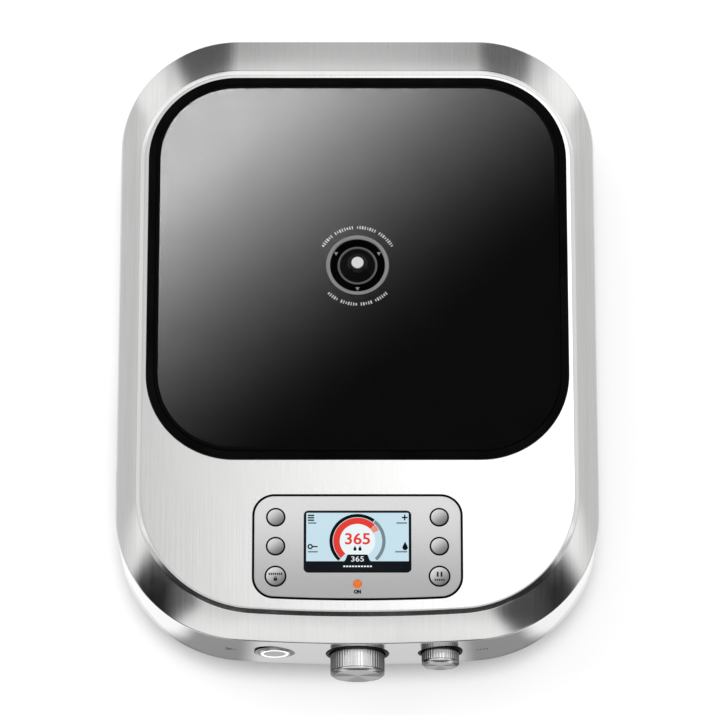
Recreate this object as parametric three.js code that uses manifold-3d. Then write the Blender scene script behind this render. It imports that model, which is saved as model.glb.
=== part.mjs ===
// A temperature-controlled induction cooktop for a counter: a brushed steel body with a glass-ceramic plate,
// a spring-loaded pan sensor in the middle of the glass, a control panel with a colour display, and two dials
// and a power button on the front wall.
//
// Millimetres, +Z up. X runs from left to right, the controls face -Y, and the feet stand on Z = 0.
// The origin is at the middle of the whole footprint, on the counter.
import * as THREE from "three";
import { mergeVertices } from "three/addons/utils/BufferGeometryUtils.js";
import Module from "manifold-3d";

const wasm = await Module();
wasm.setup();

// ---------------------------------------------------------------------------------------------------------
// Driving dimensions
// ---------------------------------------------------------------------------------------------------------
const GAP = 0.3; // between pieces that touch
const WALL = 1.5; // sheet steel of the body

const BODY_HALF_WIDTH = 174;
const BODY_HALF_DEPTH = 231;
const BOW_RADIUS = 1250; // the front edge is one long arc
const WALL_BOTTOM = 30; // height of the body wall's lower edge above the counter
const SHOULDER = 89; // where the wall meets the sloping bevel
const DECK = 105; // the flat top
const DECK_FILLET = 2.4;

const SHOULDER_RIM = { halfWidth: BODY_HALF_WIDTH, front: -231, back: 231, frontRadius: 94, backRadius: 86.5 };
const DECK_RIM = { halfWidth: 156.6, front: -211.2, back: 198.4, frontRadius: 86.5, backRadius: 68.5 };

const GLASS_Y = 48.5; // middle of the glass, which is also the axis of the pan sensor and the coil
const GLASS_HALF_WIDTH = 147;
const GLASS_HALF_DEPTH = 140.7;
const GLASS_RADIUS = 58.2;
const GLASS_THICKNESS = 4;
const GLASS_TOP = 107.5;
const SEAL_BAND = 6.1; // black silicone that shows around the glass

const SENSOR_RING_RADIUS = 23.4;
const SENSOR_BORE = 19.8;
const SLEEVE_RADIUS = SENSOR_BORE + 1.8;
const SLEEVE_BOTTOM = 97;
const SENSOR_TOP = 114;

const PANEL = { halfWidth: 73.8, front: -201.5, back: -125.8, radius: 14.4 };
const PANEL_GASKET_BAND = 1.2;
const LENS = { halfWidth: 38.2, front: -182.3, back: -136.8, radius: 3.4 };
const KEY_COLUMN = 58.5;
const KEY_ROWS = [-141.5, -163, -185.2];
const KEY_HOLE_RADII = [7, 7, 7.85];
const KEY_RING = 0.95; // black ring around each key cap
const LAMP_Y = -190.8;

const CONTROL_HEIGHT = 61; // axis of the dials and the power button on the front wall
const CONTROL_OFFSET = 59.5; // of the timer dial to the right and the power button to the left
const DIAL_PROTRUSION = 16.5;
const GLAND_PROTRUSION = 5.5; // the cord gland sits low and close behind the back wall

const PAN_BOTTOM = 10; // underside of the base pan
const PAN_SHEET = 2;
const PAN_FLOOR = PAN_BOTTOM + PAN_SHEET;
const FOOT_HEIGHT = 9.7;

const ROUND = 32; // segments of a full circle on the larger round pieces
const ROUND_SMALL = 18;

// ---------------------------------------------------------------------------------------------------------
// Materials
// ---------------------------------------------------------------------------------------------------------
const finish = (color, roughness, metalness) => new THREE.MeshStandardMaterial({ color, roughness, metalness });

const brushedSteel = finish(0xc4c4c2, 0.34, 1);
const polishedSteel = finish(0xe6e6e6, 0.1, 1);
const galvanised = finish(0x9a9da0, 0.5, 1);
const blackGlass = finish(0x08080a, 0.06, 0);
const silicone = finish(0x0c0c0c, 0.6, 0);
const blackPlastic = finish(0x17181a, 0.5, 0);
const panelSilver = finish(0xc9cac9, 0.42, 0.6);
const keySilver = finish(0xa9a9a8, 0.45, 0.7);
const displayBlue = finish(0xcde8f3, 0.2, 0);
const lensClear = finish(0x14171b, 0.08, 0);
const amber = finish(0xf07a1c, 0.3, 0);
const lightWhite = finish(0xffffff, 0.3, 0);
const copper = finish(0xb46a3c, 0.4, 1);
const ferrite = finish(0x2c2d30, 0.7, 0);
const mica = finish(0xcfc8b4, 0.8, 0);
const boardGreen = finish(0x1f5a34, 0.5, 0);
const aluminium = finish(0xb4b7ba, 0.4, 1);
const rubber = finish(0x1b1b1b, 0.8, 0);
const filterMesh = finish(0x55585b, 0.8, 0);

// ---------------------------------------------------------------------------------------------------------
// Shapes
// ---------------------------------------------------------------------------------------------------------
const lerp = THREE.MathUtils.lerp;
const HALF_TURN = Math.PI;
const QUARTER = Math.PI / 2;

/** Points of an arc, without its last one when the next arc starts there. */
function arc(x, y, radius, from, to, steps, dropLast = false) {
  const points = new THREE.ArcCurve(x, y, radius, from, to, to < from).getPoints(steps);
  return dropLast ? points.slice(0, -1) : points;
}

/** The body's plan: straight sides, round corners, and a bowed front that its corner arcs are tangent to. */
function bodyOutline({ halfWidth, front, back, frontRadius, backRadius }, inset = 0) {
  const bow = BOW_RADIUS - inset;
  const cornerRadius = frontRadius - inset;
  const rearRadius = backRadius - inset;
  const bowCentre = front + BOW_RADIUS;
  const cornerX = halfWidth - frontRadius;
  const reach = Math.sqrt((bow - cornerRadius) ** 2 - cornerX ** 2);
  const cornerY = bowCentre - reach;
  const turn = Math.atan2(cornerX, reach); // from straight ahead to where the corner arc begins
  const rearX = halfWidth - backRadius;
  const rearY = back - backRadius;
  return [
    ...arc(0, bowCentre, bow, -QUARTER - turn, -QUARTER + turn, 8, true),
    ...arc(cornerX, cornerY, cornerRadius, -QUARTER + turn, 0, 9),
    ...arc(rearX, rearY, rearRadius, 0, QUARTER, 10),
    ...arc(-rearX, rearY, rearRadius, QUARTER, HALF_TURN, 10),
    ...arc(-cornerX, cornerY, cornerRadius, HALF_TURN, HALF_TURN + QUARTER - turn, 9, true),
  ];
}

/** The body's plan at a height on the bevel: 0 is the shoulder and 1 the deck's edge. */
function bevelRim(share) {
  const rim = {};
  for (const key of Object.keys(SHOULDER_RIM)) rim[key] = lerp(SHOULDER_RIM[key], DECK_RIM[key], share);
  return rim;
}

function roundedRectangle(x, y, halfWidth, halfDepth, radius, steps = 6) {
  const cx = halfWidth - radius;
  const cy = halfDepth - radius;
  return [
    ...arc(x + cx, y + cy, radius, 0, QUARTER, steps),
    ...arc(x - cx, y + cy, radius, QUARTER, HALF_TURN, steps),
    ...arc(x - cx, y - cy, radius, HALF_TURN, HALF_TURN + QUARTER, steps),
    ...arc(x + cx, y - cy, radius, HALF_TURN + QUARTER, 2 * HALF_TURN, steps),
  ];
}

/** The control panel's plan: a rounded rectangle whose front edge follows the body's bow. */
function panelOutline(grow) {
  const { halfWidth, front, back, radius } = PANEL;
  const corner = radius + grow;
  const cx = halfWidth - radius;
  const bow = BOW_RADIUS + grow;
  const bowCentre = front + BOW_RADIUS;
  const reach = Math.sqrt((bow - corner) ** 2 - cx ** 2);
  const turn = Math.atan2(cx, reach);
  return [
    ...arc(0, bowCentre, bow, -QUARTER - turn, -QUARTER + turn, 8, true),
    ...arc(cx, bowCentre - reach, corner, -QUARTER + turn, 0, 6),
    ...arc(cx, back - radius, corner, 0, QUARTER, 6),
    ...arc(-cx, back - radius, corner, QUARTER, HALF_TURN, 6),
    ...arc(-cx, bowCentre - reach, corner, HALF_TURN, HALF_TURN + QUARTER - turn, 6, true),
  ];
}

/** A plate of a given outline between two heights, with any holes. */
function plate(outline, low, high, holes = []) {
  const shape = new THREE.Shape(outline);
  shape.holes = holes.map((hole) => new THREE.Path(hole));
  const depth = high - low;
  return new THREE.ExtrudeGeometry(shape, { depth, bevelEnabled: false }).translate(0, 0, low);
}

/** A closed body through outlines with equal numbers of points, each at its own height, from low to high. */
function loft(sections) {
  const count = sections[0].outline.length;
  const position = sections.flatMap(({ outline, z }) => outline.flatMap((p) => [p.x, p.y, z]));
  const index = [];
  for (let level = 0; level + 1 < sections.length; level++) {
    for (let i = 0; i < count; i++) {
      const a = level * count + i;
      const b = level * count + ((i + 1) % count);
      index.push(a, b, b + count, a, b + count, a + count);
    }
  }
  const top = (sections.length - 1) * count;
  for (const [a, b, c] of THREE.ShapeUtils.triangulateShape(sections[0].outline, [])) index.push(c, b, a);
  for (const [a, b, c] of THREE.ShapeUtils.triangulateShape(sections.at(-1).outline, [])) {
    index.push(top + a, top + b, top + c);
  }
  const geometry = new THREE.BufferGeometry();
  geometry.setAttribute("position", new THREE.Float32BufferAttribute(position, 3));
  return geometry.setIndex(index);
}

/** A round piece about Z. The profile lists [radius, height] out along the bottom and back along the top. */
function turned(profile, segments = ROUND) {
  const points = profile.map(([radius, height]) => new THREE.Vector2(radius, height));
  return new THREE.LatheGeometry(points, segments).rotateX(QUARTER);
}

const disc = (radius, low, high, segments = ROUND) =>
  turned([[0, low], [radius, low], [radius, high], [0, high]], segments);

const tube = (inner, outer, low, high, segments = ROUND) =>
  turned([[inner, low], [outer, low], [outer, high], [inner, high], [inner, low]], segments);

const block = (width, depth, height) => new THREE.BoxGeometry(width, depth, height);

/** Turns a piece made about Z so that its top points out of the front wall, towards -Y. */
const facingFront = (geometry) => geometry.rotateX(QUARTER);

function solidOf(geometry) {
  const bare = geometry.clone();
  bare.deleteAttribute("normal");
  bare.deleteAttribute("uv");
  const merged = mergeVertices(bare, 1e-4);
  const triVerts = new Uint32Array(merged.index.array);
  const mesh = new wasm.Mesh({ numProp: 3, vertProperties: merged.attributes.position.array, triVerts });
  return new wasm.Manifold(mesh);
}

/** A piece with others joined to it and then others cut from it. */
function shaped(base, { join = [], cut = [] }) {
  let solid = solidOf(base);
  for (const geometry of join) solid = solid.add(solidOf(geometry));
  for (const geometry of cut) solid = solid.subtract(solidOf(geometry));
  const mesh = solid.getMesh();
  const geometry = new THREE.BufferGeometry();
  geometry.setAttribute("position", new THREE.BufferAttribute(mesh.vertProperties, mesh.numProp));
  geometry.setIndex(new THREE.BufferAttribute(mesh.triVerts, 1));
  geometry.computeVertexNormals();
  return geometry;
}

function piece(name, geometry, material, x = 0, y = 0, z = 0) {
  const mesh = new THREE.Mesh(geometry, material);
  mesh.name = name;
  mesh.position.set(x, y, z);
  return mesh;
}

function assembly(x, y, z, ...pieces) {
  const group = new THREE.Group();
  group.position.set(x, y, z);
  group.add(...pieces);
  return group;
}

/** How far forward the front wall's outer face is at a distance from the middle. */
const frontWallY = (x) => -BODY_HALF_DEPTH + BOW_RADIUS - Math.sqrt(BOW_RADIUS ** 2 - x ** 2);

// ---------------------------------------------------------------------------------------------------------
// Body: one drawn steel housing with openings for the glass, the panel, the controls, the ports and the air
// ---------------------------------------------------------------------------------------------------------
const DIALS = [
  { name: "temperature", x: 0, radius: 19.5, collar: 22.6, protrusion: DIAL_PROTRUSION },
  { name: "timer", x: CONTROL_OFFSET, radius: 13.5, collar: 15.9, protrusion: 10.5 },
];
const POWER_BEZEL_RADIUS = 14.2;
const PORT_Y = -105; // the service port on the left side and the probe jack on the right
const PORT_HEIGHT = 61;
const GLAND_X = 72;
const GLAND_HEIGHT = 52;
const GLAND_THREAD = 9;

const LIP = 9; // width of the lip that the housing's lower edge turns in to, for the base pan's screws
const SCREW_HOLE_RADIUS = 1.7;
const SCREWS = [
  { name: "base_screw_front_left", x: -60, y: -224.1 },
  { name: "base_screw_front_right", x: 60, y: -224.1 },
  { name: "base_screw_rear_left", x: -60, y: 225.5 },
  { name: "base_screw_rear_right", x: 60, y: 225.5 },
];
const screwHoles = (low, high) =>
  SCREWS.map(({ x, y }) => disc(SCREW_HOLE_RADIUS, low, high, 10).translate(x, y, 0));

function housing() {
  const outer = loft([
    { outline: bodyOutline(SHOULDER_RIM), z: WALL_BOTTOM },
    { outline: bodyOutline(SHOULDER_RIM), z: SHOULDER },
    { outline: bodyOutline(bevelRim(0.5)), z: lerp(SHOULDER, DECK, 0.56) },
    { outline: bodyOutline(bevelRim(0.97)), z: DECK - 0.9 },
    { outline: bodyOutline(DECK_RIM, DECK_FILLET), z: DECK },
  ]);
  const inner = loft([
    { outline: bodyOutline(SHOULDER_RIM, WALL), z: WALL_BOTTOM + WALL },
    { outline: bodyOutline(SHOULDER_RIM, WALL), z: SHOULDER - WALL / 2 },
    { outline: bodyOutline(bevelRim(0.5), WALL), z: lerp(SHOULDER, DECK, 0.56) - WALL },
    { outline: bodyOutline(DECK_RIM, DECK_FILLET), z: DECK - WALL },
  ]);
  const through = 12; // how far a cutter reaches past the wall
  const lipOpening = plate(bodyOutline(SHOULDER_RIM, LIP), WALL_BOTTOM - 1, WALL_BOTTOM + WALL + 1);
  const glassWindow = plate(
    roundedRectangle(0, GLASS_Y, GLASS_HALF_WIDTH + 3, GLASS_HALF_DEPTH + 3, GLASS_RADIUS + 3, 8),
    DECK - through,
    DECK + 1,
  );
  const panelWindow = plate(panelOutline(PANEL_GASKET_BAND + GAP), DECK - through, DECK + 1);
  const frontHole = (x, radius) =>
    facingFront(disc(radius, -through, through)).translate(x, frontWallY(x), CONTROL_HEIGHT);
  const rearSlots = [];
  const SLOTS = 12;
  for (let i = 0; i < SLOTS; i++) {
    rearSlots.push(block(3.4, through, 26).translate(-74 + i * 9, BODY_HALF_DEPTH, 58));
  }
  const sideHole = (side, geometry) => geometry.translate(side * BODY_HALF_WIDTH, PORT_Y, PORT_HEIGHT);
  return shaped(outer, {
    cut: [
      inner,
      lipOpening,
      glassWindow,
      panelWindow,
      ...screwHoles(WALL_BOTTOM - 1, WALL_BOTTOM + WALL + 1),
      ...DIALS.map(({ x, collar }) => frontHole(x, collar + GAP)),
      frontHole(-CONTROL_OFFSET, POWER_BEZEL_RADIUS + GAP),
      ...rearSlots,
      sideHole(-1, block(through, 15.3, 8.2)),
      sideHole(1, disc(5.3, -through, through, ROUND_SMALL).rotateY(QUARTER)),
      facingFront(disc(GLAND_THREAD + GAP, -through, through))
        .translate(GLAND_X, BODY_HALF_DEPTH, GLAND_HEIGHT),
    ],
  });
}

// ---------------------------------------------------------------------------------------------------------
// Glass plate with its silicone seal
// ---------------------------------------------------------------------------------------------------------
function glassAssembly() {
  const rim = (grow) =>
    roundedRectangle(0, 0, GLASS_HALF_WIDTH + grow, GLASS_HALF_DEPTH + grow, GLASS_RADIUS + grow, 8);
  const sensorHole = new THREE.ArcCurve(0, 0, SLEEVE_RADIUS + 0.4, 0, 2 * HALF_TURN)
    .getPoints(ROUND)
    .slice(0, -1);
  const glass = plate(rim(0), GLASS_TOP - GLASS_THICKNESS, GLASS_TOP, [sensorHole]);
  const underside = GLASS_TOP - GLASS_THICKNESS - GAP;
  const seal = shaped(plate(rim(SEAL_BAND), DECK + GAP, GLASS_TOP - GAP), {
    join: [plate(rim(3 - GAP), underside - 2, DECK + 1)],
    cut: [plate(rim(GAP), underside, GLASS_TOP + 1), plate(rim(-6), underside - 3, underside + 1)],
  });
  return assembly(0, GLASS_Y, 0, piece("glass_top", glass, blackGlass), piece("glass_seal", seal, silicone));
}

// ---------------------------------------------------------------------------------------------------------
// Pan sensor: a sprung plunger that a pan presses down to the glass
// ---------------------------------------------------------------------------------------------------------
const PLUNGER_RADIUS = 14.6;
const STEM_RADIUS = 4;
const GUIDE_FLOOR = 82;
const SPRING_RADIUS = 6.6;
const SPRING_WIRE = 0.8;

function helix(radius, low, high, turns) {
  const points = [];
  const steps = turns * 10;
  for (let i = 0; i <= steps; i++) {
    const angle = (i / 10) * 2 * HALF_TURN;
    const height = lerp(low, high, i / steps);
    points.push(new THREE.Vector3(radius * Math.cos(angle), radius * Math.sin(angle), height));
  }
  return new THREE.CatmullRomCurve3(points);
}

function wireAlong(path, radius, sides, steps) {
  const circle = new THREE.ArcCurve(0, 0, radius, 0, 2 * HALF_TURN).getPoints(sides);
  const section = new THREE.Shape(circle.slice(0, -1));
  return new THREE.ExtrudeGeometry(section, { steps, extrudePath: path, bevelEnabled: false });
}

function sensorAssembly() {
  const ringTop = GLASS_TOP + GAP + 0.6;
  const ring = turned([
    [SENSOR_BORE, SLEEVE_BOTTOM],
    [SLEEVE_RADIUS, SLEEVE_BOTTOM],
    [SLEEVE_RADIUS, GLASS_TOP + GAP],
    [SENSOR_RING_RADIUS, GLASS_TOP + GAP],
    [SENSOR_RING_RADIUS - 0.4, ringTop],
    [SENSOR_BORE + 0.6, ringTop],
    [SENSOR_BORE, ringTop - 0.8],
    [SENSOR_BORE, SLEEVE_BOTTOM],
  ]);
  // The bellows is a rolling fold of silicone between the ring and the plunger.
  const bellows = turned([
    [PLUNGER_RADIUS + GAP, 102],
    [SENSOR_BORE - GAP, 102],
    [SENSOR_BORE - GAP, 107.4],
    [SENSOR_BORE - 1.6, 107.2],
    [SENSOR_BORE - 2.6, 105.2],
    [SENSOR_BORE - 3.6, 105.8],
    [PLUNGER_RADIUS + GAP, 104.6],
    [PLUNGER_RADIUS + GAP, 102],
  ]);
  const plunger = turned([
    [0, 80],
    [STEM_RADIUS, 80],
    [STEM_RADIUS, 101],
    [PLUNGER_RADIUS, 101],
    [PLUNGER_RADIUS, 106.2],
    [PLUNGER_RADIUS - 1.2, 106.9],
    [PLUNGER_RADIUS - 2.6, 106.4],
    [10, 109.4],
    [8.4, 111.2],
    [5.6, 112.6],
    [5.6, 113.1],
    [0, 113.1],
  ]);
  const tip = turned([
    [0, 113.1 + GAP],
    [4.5, 113.1 + GAP],
    [4.5, SENSOR_TOP - 0.2],
    [4.2, SENSOR_TOP],
    [0, SENSOR_TOP],
  ], ROUND_SMALL);
  const guide = shaped(disc(SLEEVE_RADIUS, GUIDE_FLOOR, SLEEVE_BOTTOM - GAP), {
    cut: [
      disc(SENSOR_BORE, GUIDE_FLOOR + 3, SLEEVE_BOTTOM),
      disc(STEM_RADIUS + GAP, GUIDE_FLOOR - 1, SLEEVE_BOTTOM, ROUND_SMALL),
    ],
  });
  const spring = wireAlong(
    helix(SPRING_RADIUS, GUIDE_FLOOR + 3 + SPRING_WIRE + GAP, 101 - SPRING_WIRE - GAP, 5),
    SPRING_WIRE,
    6,
    60,
  );
  return assembly(
    0,
    GLASS_Y,
    0,
    piece("sensor_ring", ring, brushedSteel),
    piece("sensor_bellows", bellows, silicone),
    piece("sensor_plunger", plunger, blackPlastic),
    piece("sensor_tip", tip, polishedSteel),
    piece("sensor_guide", guide, blackPlastic),
    piece("sensor_spring", spring, polishedSteel),
  );
}

// ---------------------------------------------------------------------------------------------------------
// Control panel: a silver plate with six keys, a display and a status lamp, over a circuit board
// ---------------------------------------------------------------------------------------------------------
const PANEL_TOP = DECK + 0.2;
const PANEL_SHEET = 3.8;
const PANEL_FLANGE = 4; // reaches under the deck around the panel
const BOARD_BOSSES = [-1, 1].flatMap((side) => [-131, -194].map((y) => ({ x: side * 45.4, y })));
const CONTROL_BOARD_TOP = 94;
const KEYS = [
  { name: "menu_key", side: -1, row: 0 },
  { name: "probe_key", side: -1, row: 1 },
  { name: "settings_key", side: -1, row: 2 },
  { name: "units_key", side: 1, row: 0 },
  { name: "intensity_key", side: 1, row: 1 },
  { name: "pause_key", side: 1, row: 2 },
];

function keyCap(radius) {
  const flange = PANEL_TOP - PANEL_SHEET;
  return turned(
    [
      [0, flange - 1.7],
      [radius + 2, flange - 1.7],
      [radius + 2, flange - GAP],
      [radius, flange - GAP],
      [radius, PANEL_TOP + 0.2],
      [radius - 0.7, PANEL_TOP + 0.7],
      [0, PANEL_TOP + 0.9],
    ],
    20,
  );
}

function panelAssembly() {
  const low = PANEL_TOP - PANEL_SHEET;
  const lensY = (LENS.front + LENS.back) / 2;
  const lensHalfDepth = (LENS.back - LENS.front) / 2;
  const lensRim = (grow) =>
    roundedRectangle(0, lensY, LENS.halfWidth + grow, lensHalfDepth + grow, LENS.radius, 4);
  const keyHoles = KEYS.map(({ side, row }) =>
    new THREE.ArcCurve(side * KEY_COLUMN, KEY_ROWS[row], KEY_HOLE_RADII[row], 0, 2 * HALF_TURN)
      .getPoints(20)
      .slice(0, -1),
  );
  const lampHole = new THREE.ArcCurve(0, LAMP_Y, 3.2, 0, 2 * HALF_TURN).getPoints(16).slice(0, -1);
  const holes = [lensRim(GAP), lampHole, ...keyHoles];
  const flangeTop = DECK - WALL - GAP;
  const face = shaped(plate(panelOutline(0), low, PANEL_TOP, holes), {
    join: [
      plate(panelOutline(PANEL_FLANGE), low, flangeTop, holes),
      ...BOARD_BOSSES.map(({ x, y }) => disc(2, CONTROL_BOARD_TOP + GAP, low + 1, 8).translate(x, y, 0)),
    ],
  });
  const gasketRim = panelOutline(PANEL_GASKET_BAND);
  const gasket = plate(gasketRim, flangeTop + GAP, PANEL_TOP + 0.1, [panelOutline(GAP)]);
  const lens = plate(lensRim(0), low + 0.4, PANEL_TOP + 0.3);
  const moduleHeight = low - CONTROL_BOARD_TOP - 2 * GAP;
  const moduleMiddle = (low + CONTROL_BOARD_TOP) / 2;
  const display = piece("display_module", block(82, 52, moduleHeight), displayBlue, 0, lensY, moduleMiddle);
  const lamp = turned(
    [[0, low - 4], [2.9, low - 4], [2.9, PANEL_TOP], [2.1, PANEL_TOP + 0.8], [0, PANEL_TOP + 1.1]],
    16,
  );
  const boardY = (PANEL.front + PANEL.back) / 2;
  const board = piece("control_board", block(140, 72, 1.6), boardGreen, 0, boardY, CONTROL_BOARD_TOP - 0.8);
  const caps = KEYS.map(({ name, side, row }) =>
    piece(name, keyCap(KEY_HOLE_RADII[row] - KEY_RING), keySilver, side * KEY_COLUMN, KEY_ROWS[row], 0),
  );
  return assembly(
    0,
    0,
    0,
    piece("control_panel", face, panelSilver),
    piece("panel_gasket", gasket, silicone),
    piece("display_lens", lens, lensClear),
    piece("status_lamp", lamp, amber, 0, LAMP_Y, 0),
    display,
    board,
    ...caps,
  );
}

// ---------------------------------------------------------------------------------------------------------
// Dials: each knob turns its encoder's rotor without end, and slides in it to press the switch behind
// Each is made about Z with Z = 0 at the wall's outer face, and then faces the front
// ---------------------------------------------------------------------------------------------------------
const SHAFT_RADIUS = 3;
const ENCODER_FACE = -9; // front of the encoder's case

function dialAssembly({ name, x, radius, collar, protrusion }) {
  const floor = -6.5;
  const collarCup = shaped(disc(collar, floor - 1.8, 0.5), {
    join: [disc(collar + 2.5, floor, -3)],
    cut: [disc(radius + 0.9, floor, 2), disc(SHAFT_RADIUS + 1.9, floor - 3, 0, ROUND_SMALL)],
  });
  const encoderCase = shaped(block(16, 16, 9).translate(0, 0, ENCODER_FACE - 4.5), {
    join: [disc(SHAFT_RADIUS + 1.5, ENCODER_FACE - 1, floor + 1.5, ROUND_SMALL)],
    cut: [
      disc(SHAFT_RADIUS + GAP, ENCODER_FACE - 10, 0, ROUND_SMALL),
      disc(6.6, ENCODER_FACE - 10, ENCODER_FACE - 3, ROUND_SMALL),
    ],
  });
  const rotor = tube(SHAFT_RADIUS + GAP, 6.2, ENCODER_FACE - 6, ENCODER_FACE - 3.5, ROUND_SMALL);
  const shaft = disc(SHAFT_RADIUS, ENCODER_FACE - 8, protrusion - 5, ROUND_SMALL);
  const back = -2.2; // the knob's skirt sits inside the collar
  const knob = turned([
    [SHAFT_RADIUS + GAP, back + 1.2],
    [radius - 2.5, back + 1.2],
    [radius - 2.5, back],
    [radius, back],
    [radius, protrusion - 1.2],
    [radius - 1, protrusion],
    [radius - 2.2, protrusion - 0.5],
    [0, protrusion - 0.5],
    [0, protrusion - 5 + GAP],
    [SHAFT_RADIUS + GAP, protrusion - 5 + GAP],
    [SHAFT_RADIUS + GAP, back + 1.2],
  ]);
  const group = assembly(
    x,
    frontWallY(x),
    CONTROL_HEIGHT,
    piece(`${name}_collar`, collarCup, blackPlastic),
    piece(`${name}_encoder`, encoderCase, galvanised),
    piece(`${name}_rotor`, rotor, blackPlastic),
    piece(`${name}_shaft`, shaft, aluminium),
    piece(`${name}_knob`, knob, brushedSteel),
  );
  group.rotation.x = QUARTER;
  return group;
}

// ---------------------------------------------------------------------------------------------------------
// Power button with a ring of light, in a dished bezel
// ---------------------------------------------------------------------------------------------------------
const POWER_BUTTON_RADIUS = 11.6;
const LIGHT_RING = { inner: 8.4, outer: 10.4 };

function powerAssembly() {
  const bezel = turned([
    [POWER_BUTTON_RADIUS + GAP, -6],
    [POWER_BEZEL_RADIUS, -6],
    [POWER_BEZEL_RADIUS, 0.4],
    [POWER_BUTTON_RADIUS + 0.8, -1.2],
    [POWER_BUTTON_RADIUS + GAP, -1.6],
    [POWER_BUTTON_RADIUS + GAP, -6],
  ]);
  const groove = 1;
  const face = 1.4;
  const button = turned([
    [0, -5],
    [POWER_BUTTON_RADIUS, -5],
    [POWER_BUTTON_RADIUS, face - 0.8],
    [POWER_BUTTON_RADIUS - 0.8, face],
    [LIGHT_RING.outer + GAP, face],
    [LIGHT_RING.outer + GAP, face - groove],
    [LIGHT_RING.inner - GAP, face - groove],
    [LIGHT_RING.inner - GAP, face],
    [0, face - 0.3],
  ]);
  const light = tube(LIGHT_RING.inner, LIGHT_RING.outer, face - groove + GAP, face + 0.1);
  const body = shaped(disc(POWER_BEZEL_RADIUS - 0.6, -14, -6 - GAP, ROUND_SMALL), {
    join: [block(18, 12, 9).translate(0, 0, -17)],
  });
  const group = assembly(
    -CONTROL_OFFSET,
    frontWallY(CONTROL_OFFSET),
    CONTROL_HEIGHT,
    piece("power_bezel", bezel, brushedSteel),
    piece("power_button", button, brushedSteel),
    piece("power_light_ring", light, lightWhite),
    piece("power_switch", body, blackPlastic),
  );
  group.rotation.x = QUARTER;
  return group;
}

// ---------------------------------------------------------------------------------------------------------
// Ports: a service port under a flap on the left, the probe jack on the right, the cord gland at the back
// ---------------------------------------------------------------------------------------------------------
const PORT_PROUD = 1.2; // how far the flap and the jack's nut stand out of the walls

function portAssembly() {
  const port = shaped(block(14, 14.4, 7.3).translate(7.5, 0, 0), {
    cut: [block(11, 12.4, 5.3).translate(4.5, 0, 0)],
  });
  const flap = plate(roundedRectangle(0, 0, 10.5, 7, 2.5, 4), 0, PORT_PROUD - GAP)
    .rotateX(QUARTER)
    .rotateZ(-QUARTER);
  const jack = shaped(disc(5, -16, GAP, ROUND_SMALL), {
    join: [disc(7.4, GAP, PORT_PROUD, 6)],
    cut: [disc(3.4, -13, PORT_PROUD + 1, ROUND_SMALL)],
  }).rotateY(QUARTER);
  return assembly(
    0,
    PORT_Y,
    PORT_HEIGHT,
    piece("service_port", port, galvanised, -BODY_HALF_WIDTH, 0, 0),
    piece("port_cover", flap, rubber, -BODY_HALF_WIDTH - GAP, 0, 0),
    piece("probe_jack", jack, brushedSteel, BODY_HALF_WIDTH, 0, 0),
  );
}

function glandAssembly() {
  const nose = GLAND_PROTRUSION;
  const gland = turned([
    [4.8, -18],
    [GLAND_THREAD, -18],
    [GLAND_THREAD, GAP],
    [13, GAP],
    [13, 2.2],
    [12, 3],
    [9, nose - 1],
    [8.4, nose],
    [5.6, nose],
    [4.8, nose - 1],
    [4.8, -18],
  ]);
  const nut = shaped(disc(13.5, -7.5, -WALL - GAP, 6), { cut: [disc(GLAND_THREAD + GAP, -9, 0)] });
  const group = assembly(
    GLAND_X,
    BODY_HALF_DEPTH,
    GLAND_HEIGHT,
    piece("cord_gland", gland, blackPlastic),
    piece("gland_nut", nut, blackPlastic),
  );
  group.rotation.x = -QUARTER;
  return group;
}

// ---------------------------------------------------------------------------------------------------------
// Induction unit under the glass: a spiral coil on its carrier, with ferrite beneath
// ---------------------------------------------------------------------------------------------------------
const COIL = { inner: 30, outer: 102, turns: 9, low: 91.5, height: 4 };

const LEGS = [-1, 1].flatMap((side) => [-36, 36].map((y) => ({ x: side * 98, y })));

function inductionAssembly() {
  const stepsPerTurn = 20;
  const steps = COIL.turns * stepsPerTurn;
  const pitch = (COIL.outer - COIL.inner) / COIL.turns;
  const centreline = [];
  for (let i = 0; i <= steps; i++) {
    const angle = (i / stepsPerTurn) * 2 * HALF_TURN;
    const radius = COIL.inner + (i / stepsPerTurn) * pitch;
    centreline.push({ angle, radius });
  }
  const edge = (offset) =>
    centreline.map(({ angle, radius }) =>
      new THREE.Vector2((radius + offset) * Math.cos(angle), (radius + offset) * Math.sin(angle)),
    );
  const halfStrand = 0.4 * pitch;
  const strip = [...edge(halfStrand), ...edge(-halfStrand).reverse()];
  const coil = plate(strip, COIL.low, COIL.low + COIL.height);
  const carrierTop = COIL.low - GAP;
  const carrier = shaped(disc(112, carrierTop - 3, carrierTop), {
    join: [
      tube(108.5, 112, carrierTop - 1, COIL.low + COIL.height - 0.5),
      ...LEGS.map(({ x, y }) => disc(4, PAN_FLOOR + GAP, carrierTop - 1, 10).translate(x, y, 0)),
    ],
    cut: [disc(SLEEVE_RADIUS + 1, carrierTop - 5, COIL.low + 8)],
  });
  const barTop = carrierTop - 3 - GAP;
  const barHeight = 4;
  const hub = tube(24, 32, barTop - barHeight, barTop);
  const BARS = 6;
  const bars = Array.from({ length: BARS }, (_, i) =>
    block(76, 13, barHeight)
      .translate(66, 0, barTop - barHeight / 2)
      .rotateZ((i / BARS) * 2 * HALF_TURN),
  );
  return assembly(
    0,
    GLASS_Y,
    0,
    piece("induction_coil", coil, copper),
    piece("coil_carrier", carrier, mica),
    piece("ferrite_star", shaped(hub, { join: bars }), ferrite),
  );
}

// ---------------------------------------------------------------------------------------------------------
// Power electronics: board, heatsink with its transistor, capacitor and choke
// ---------------------------------------------------------------------------------------------------------
const BOARD_TOP = 26;
const BOARD = { x: 0, y: 125, width: 170, depth: 120, thickness: 1.6 };

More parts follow.
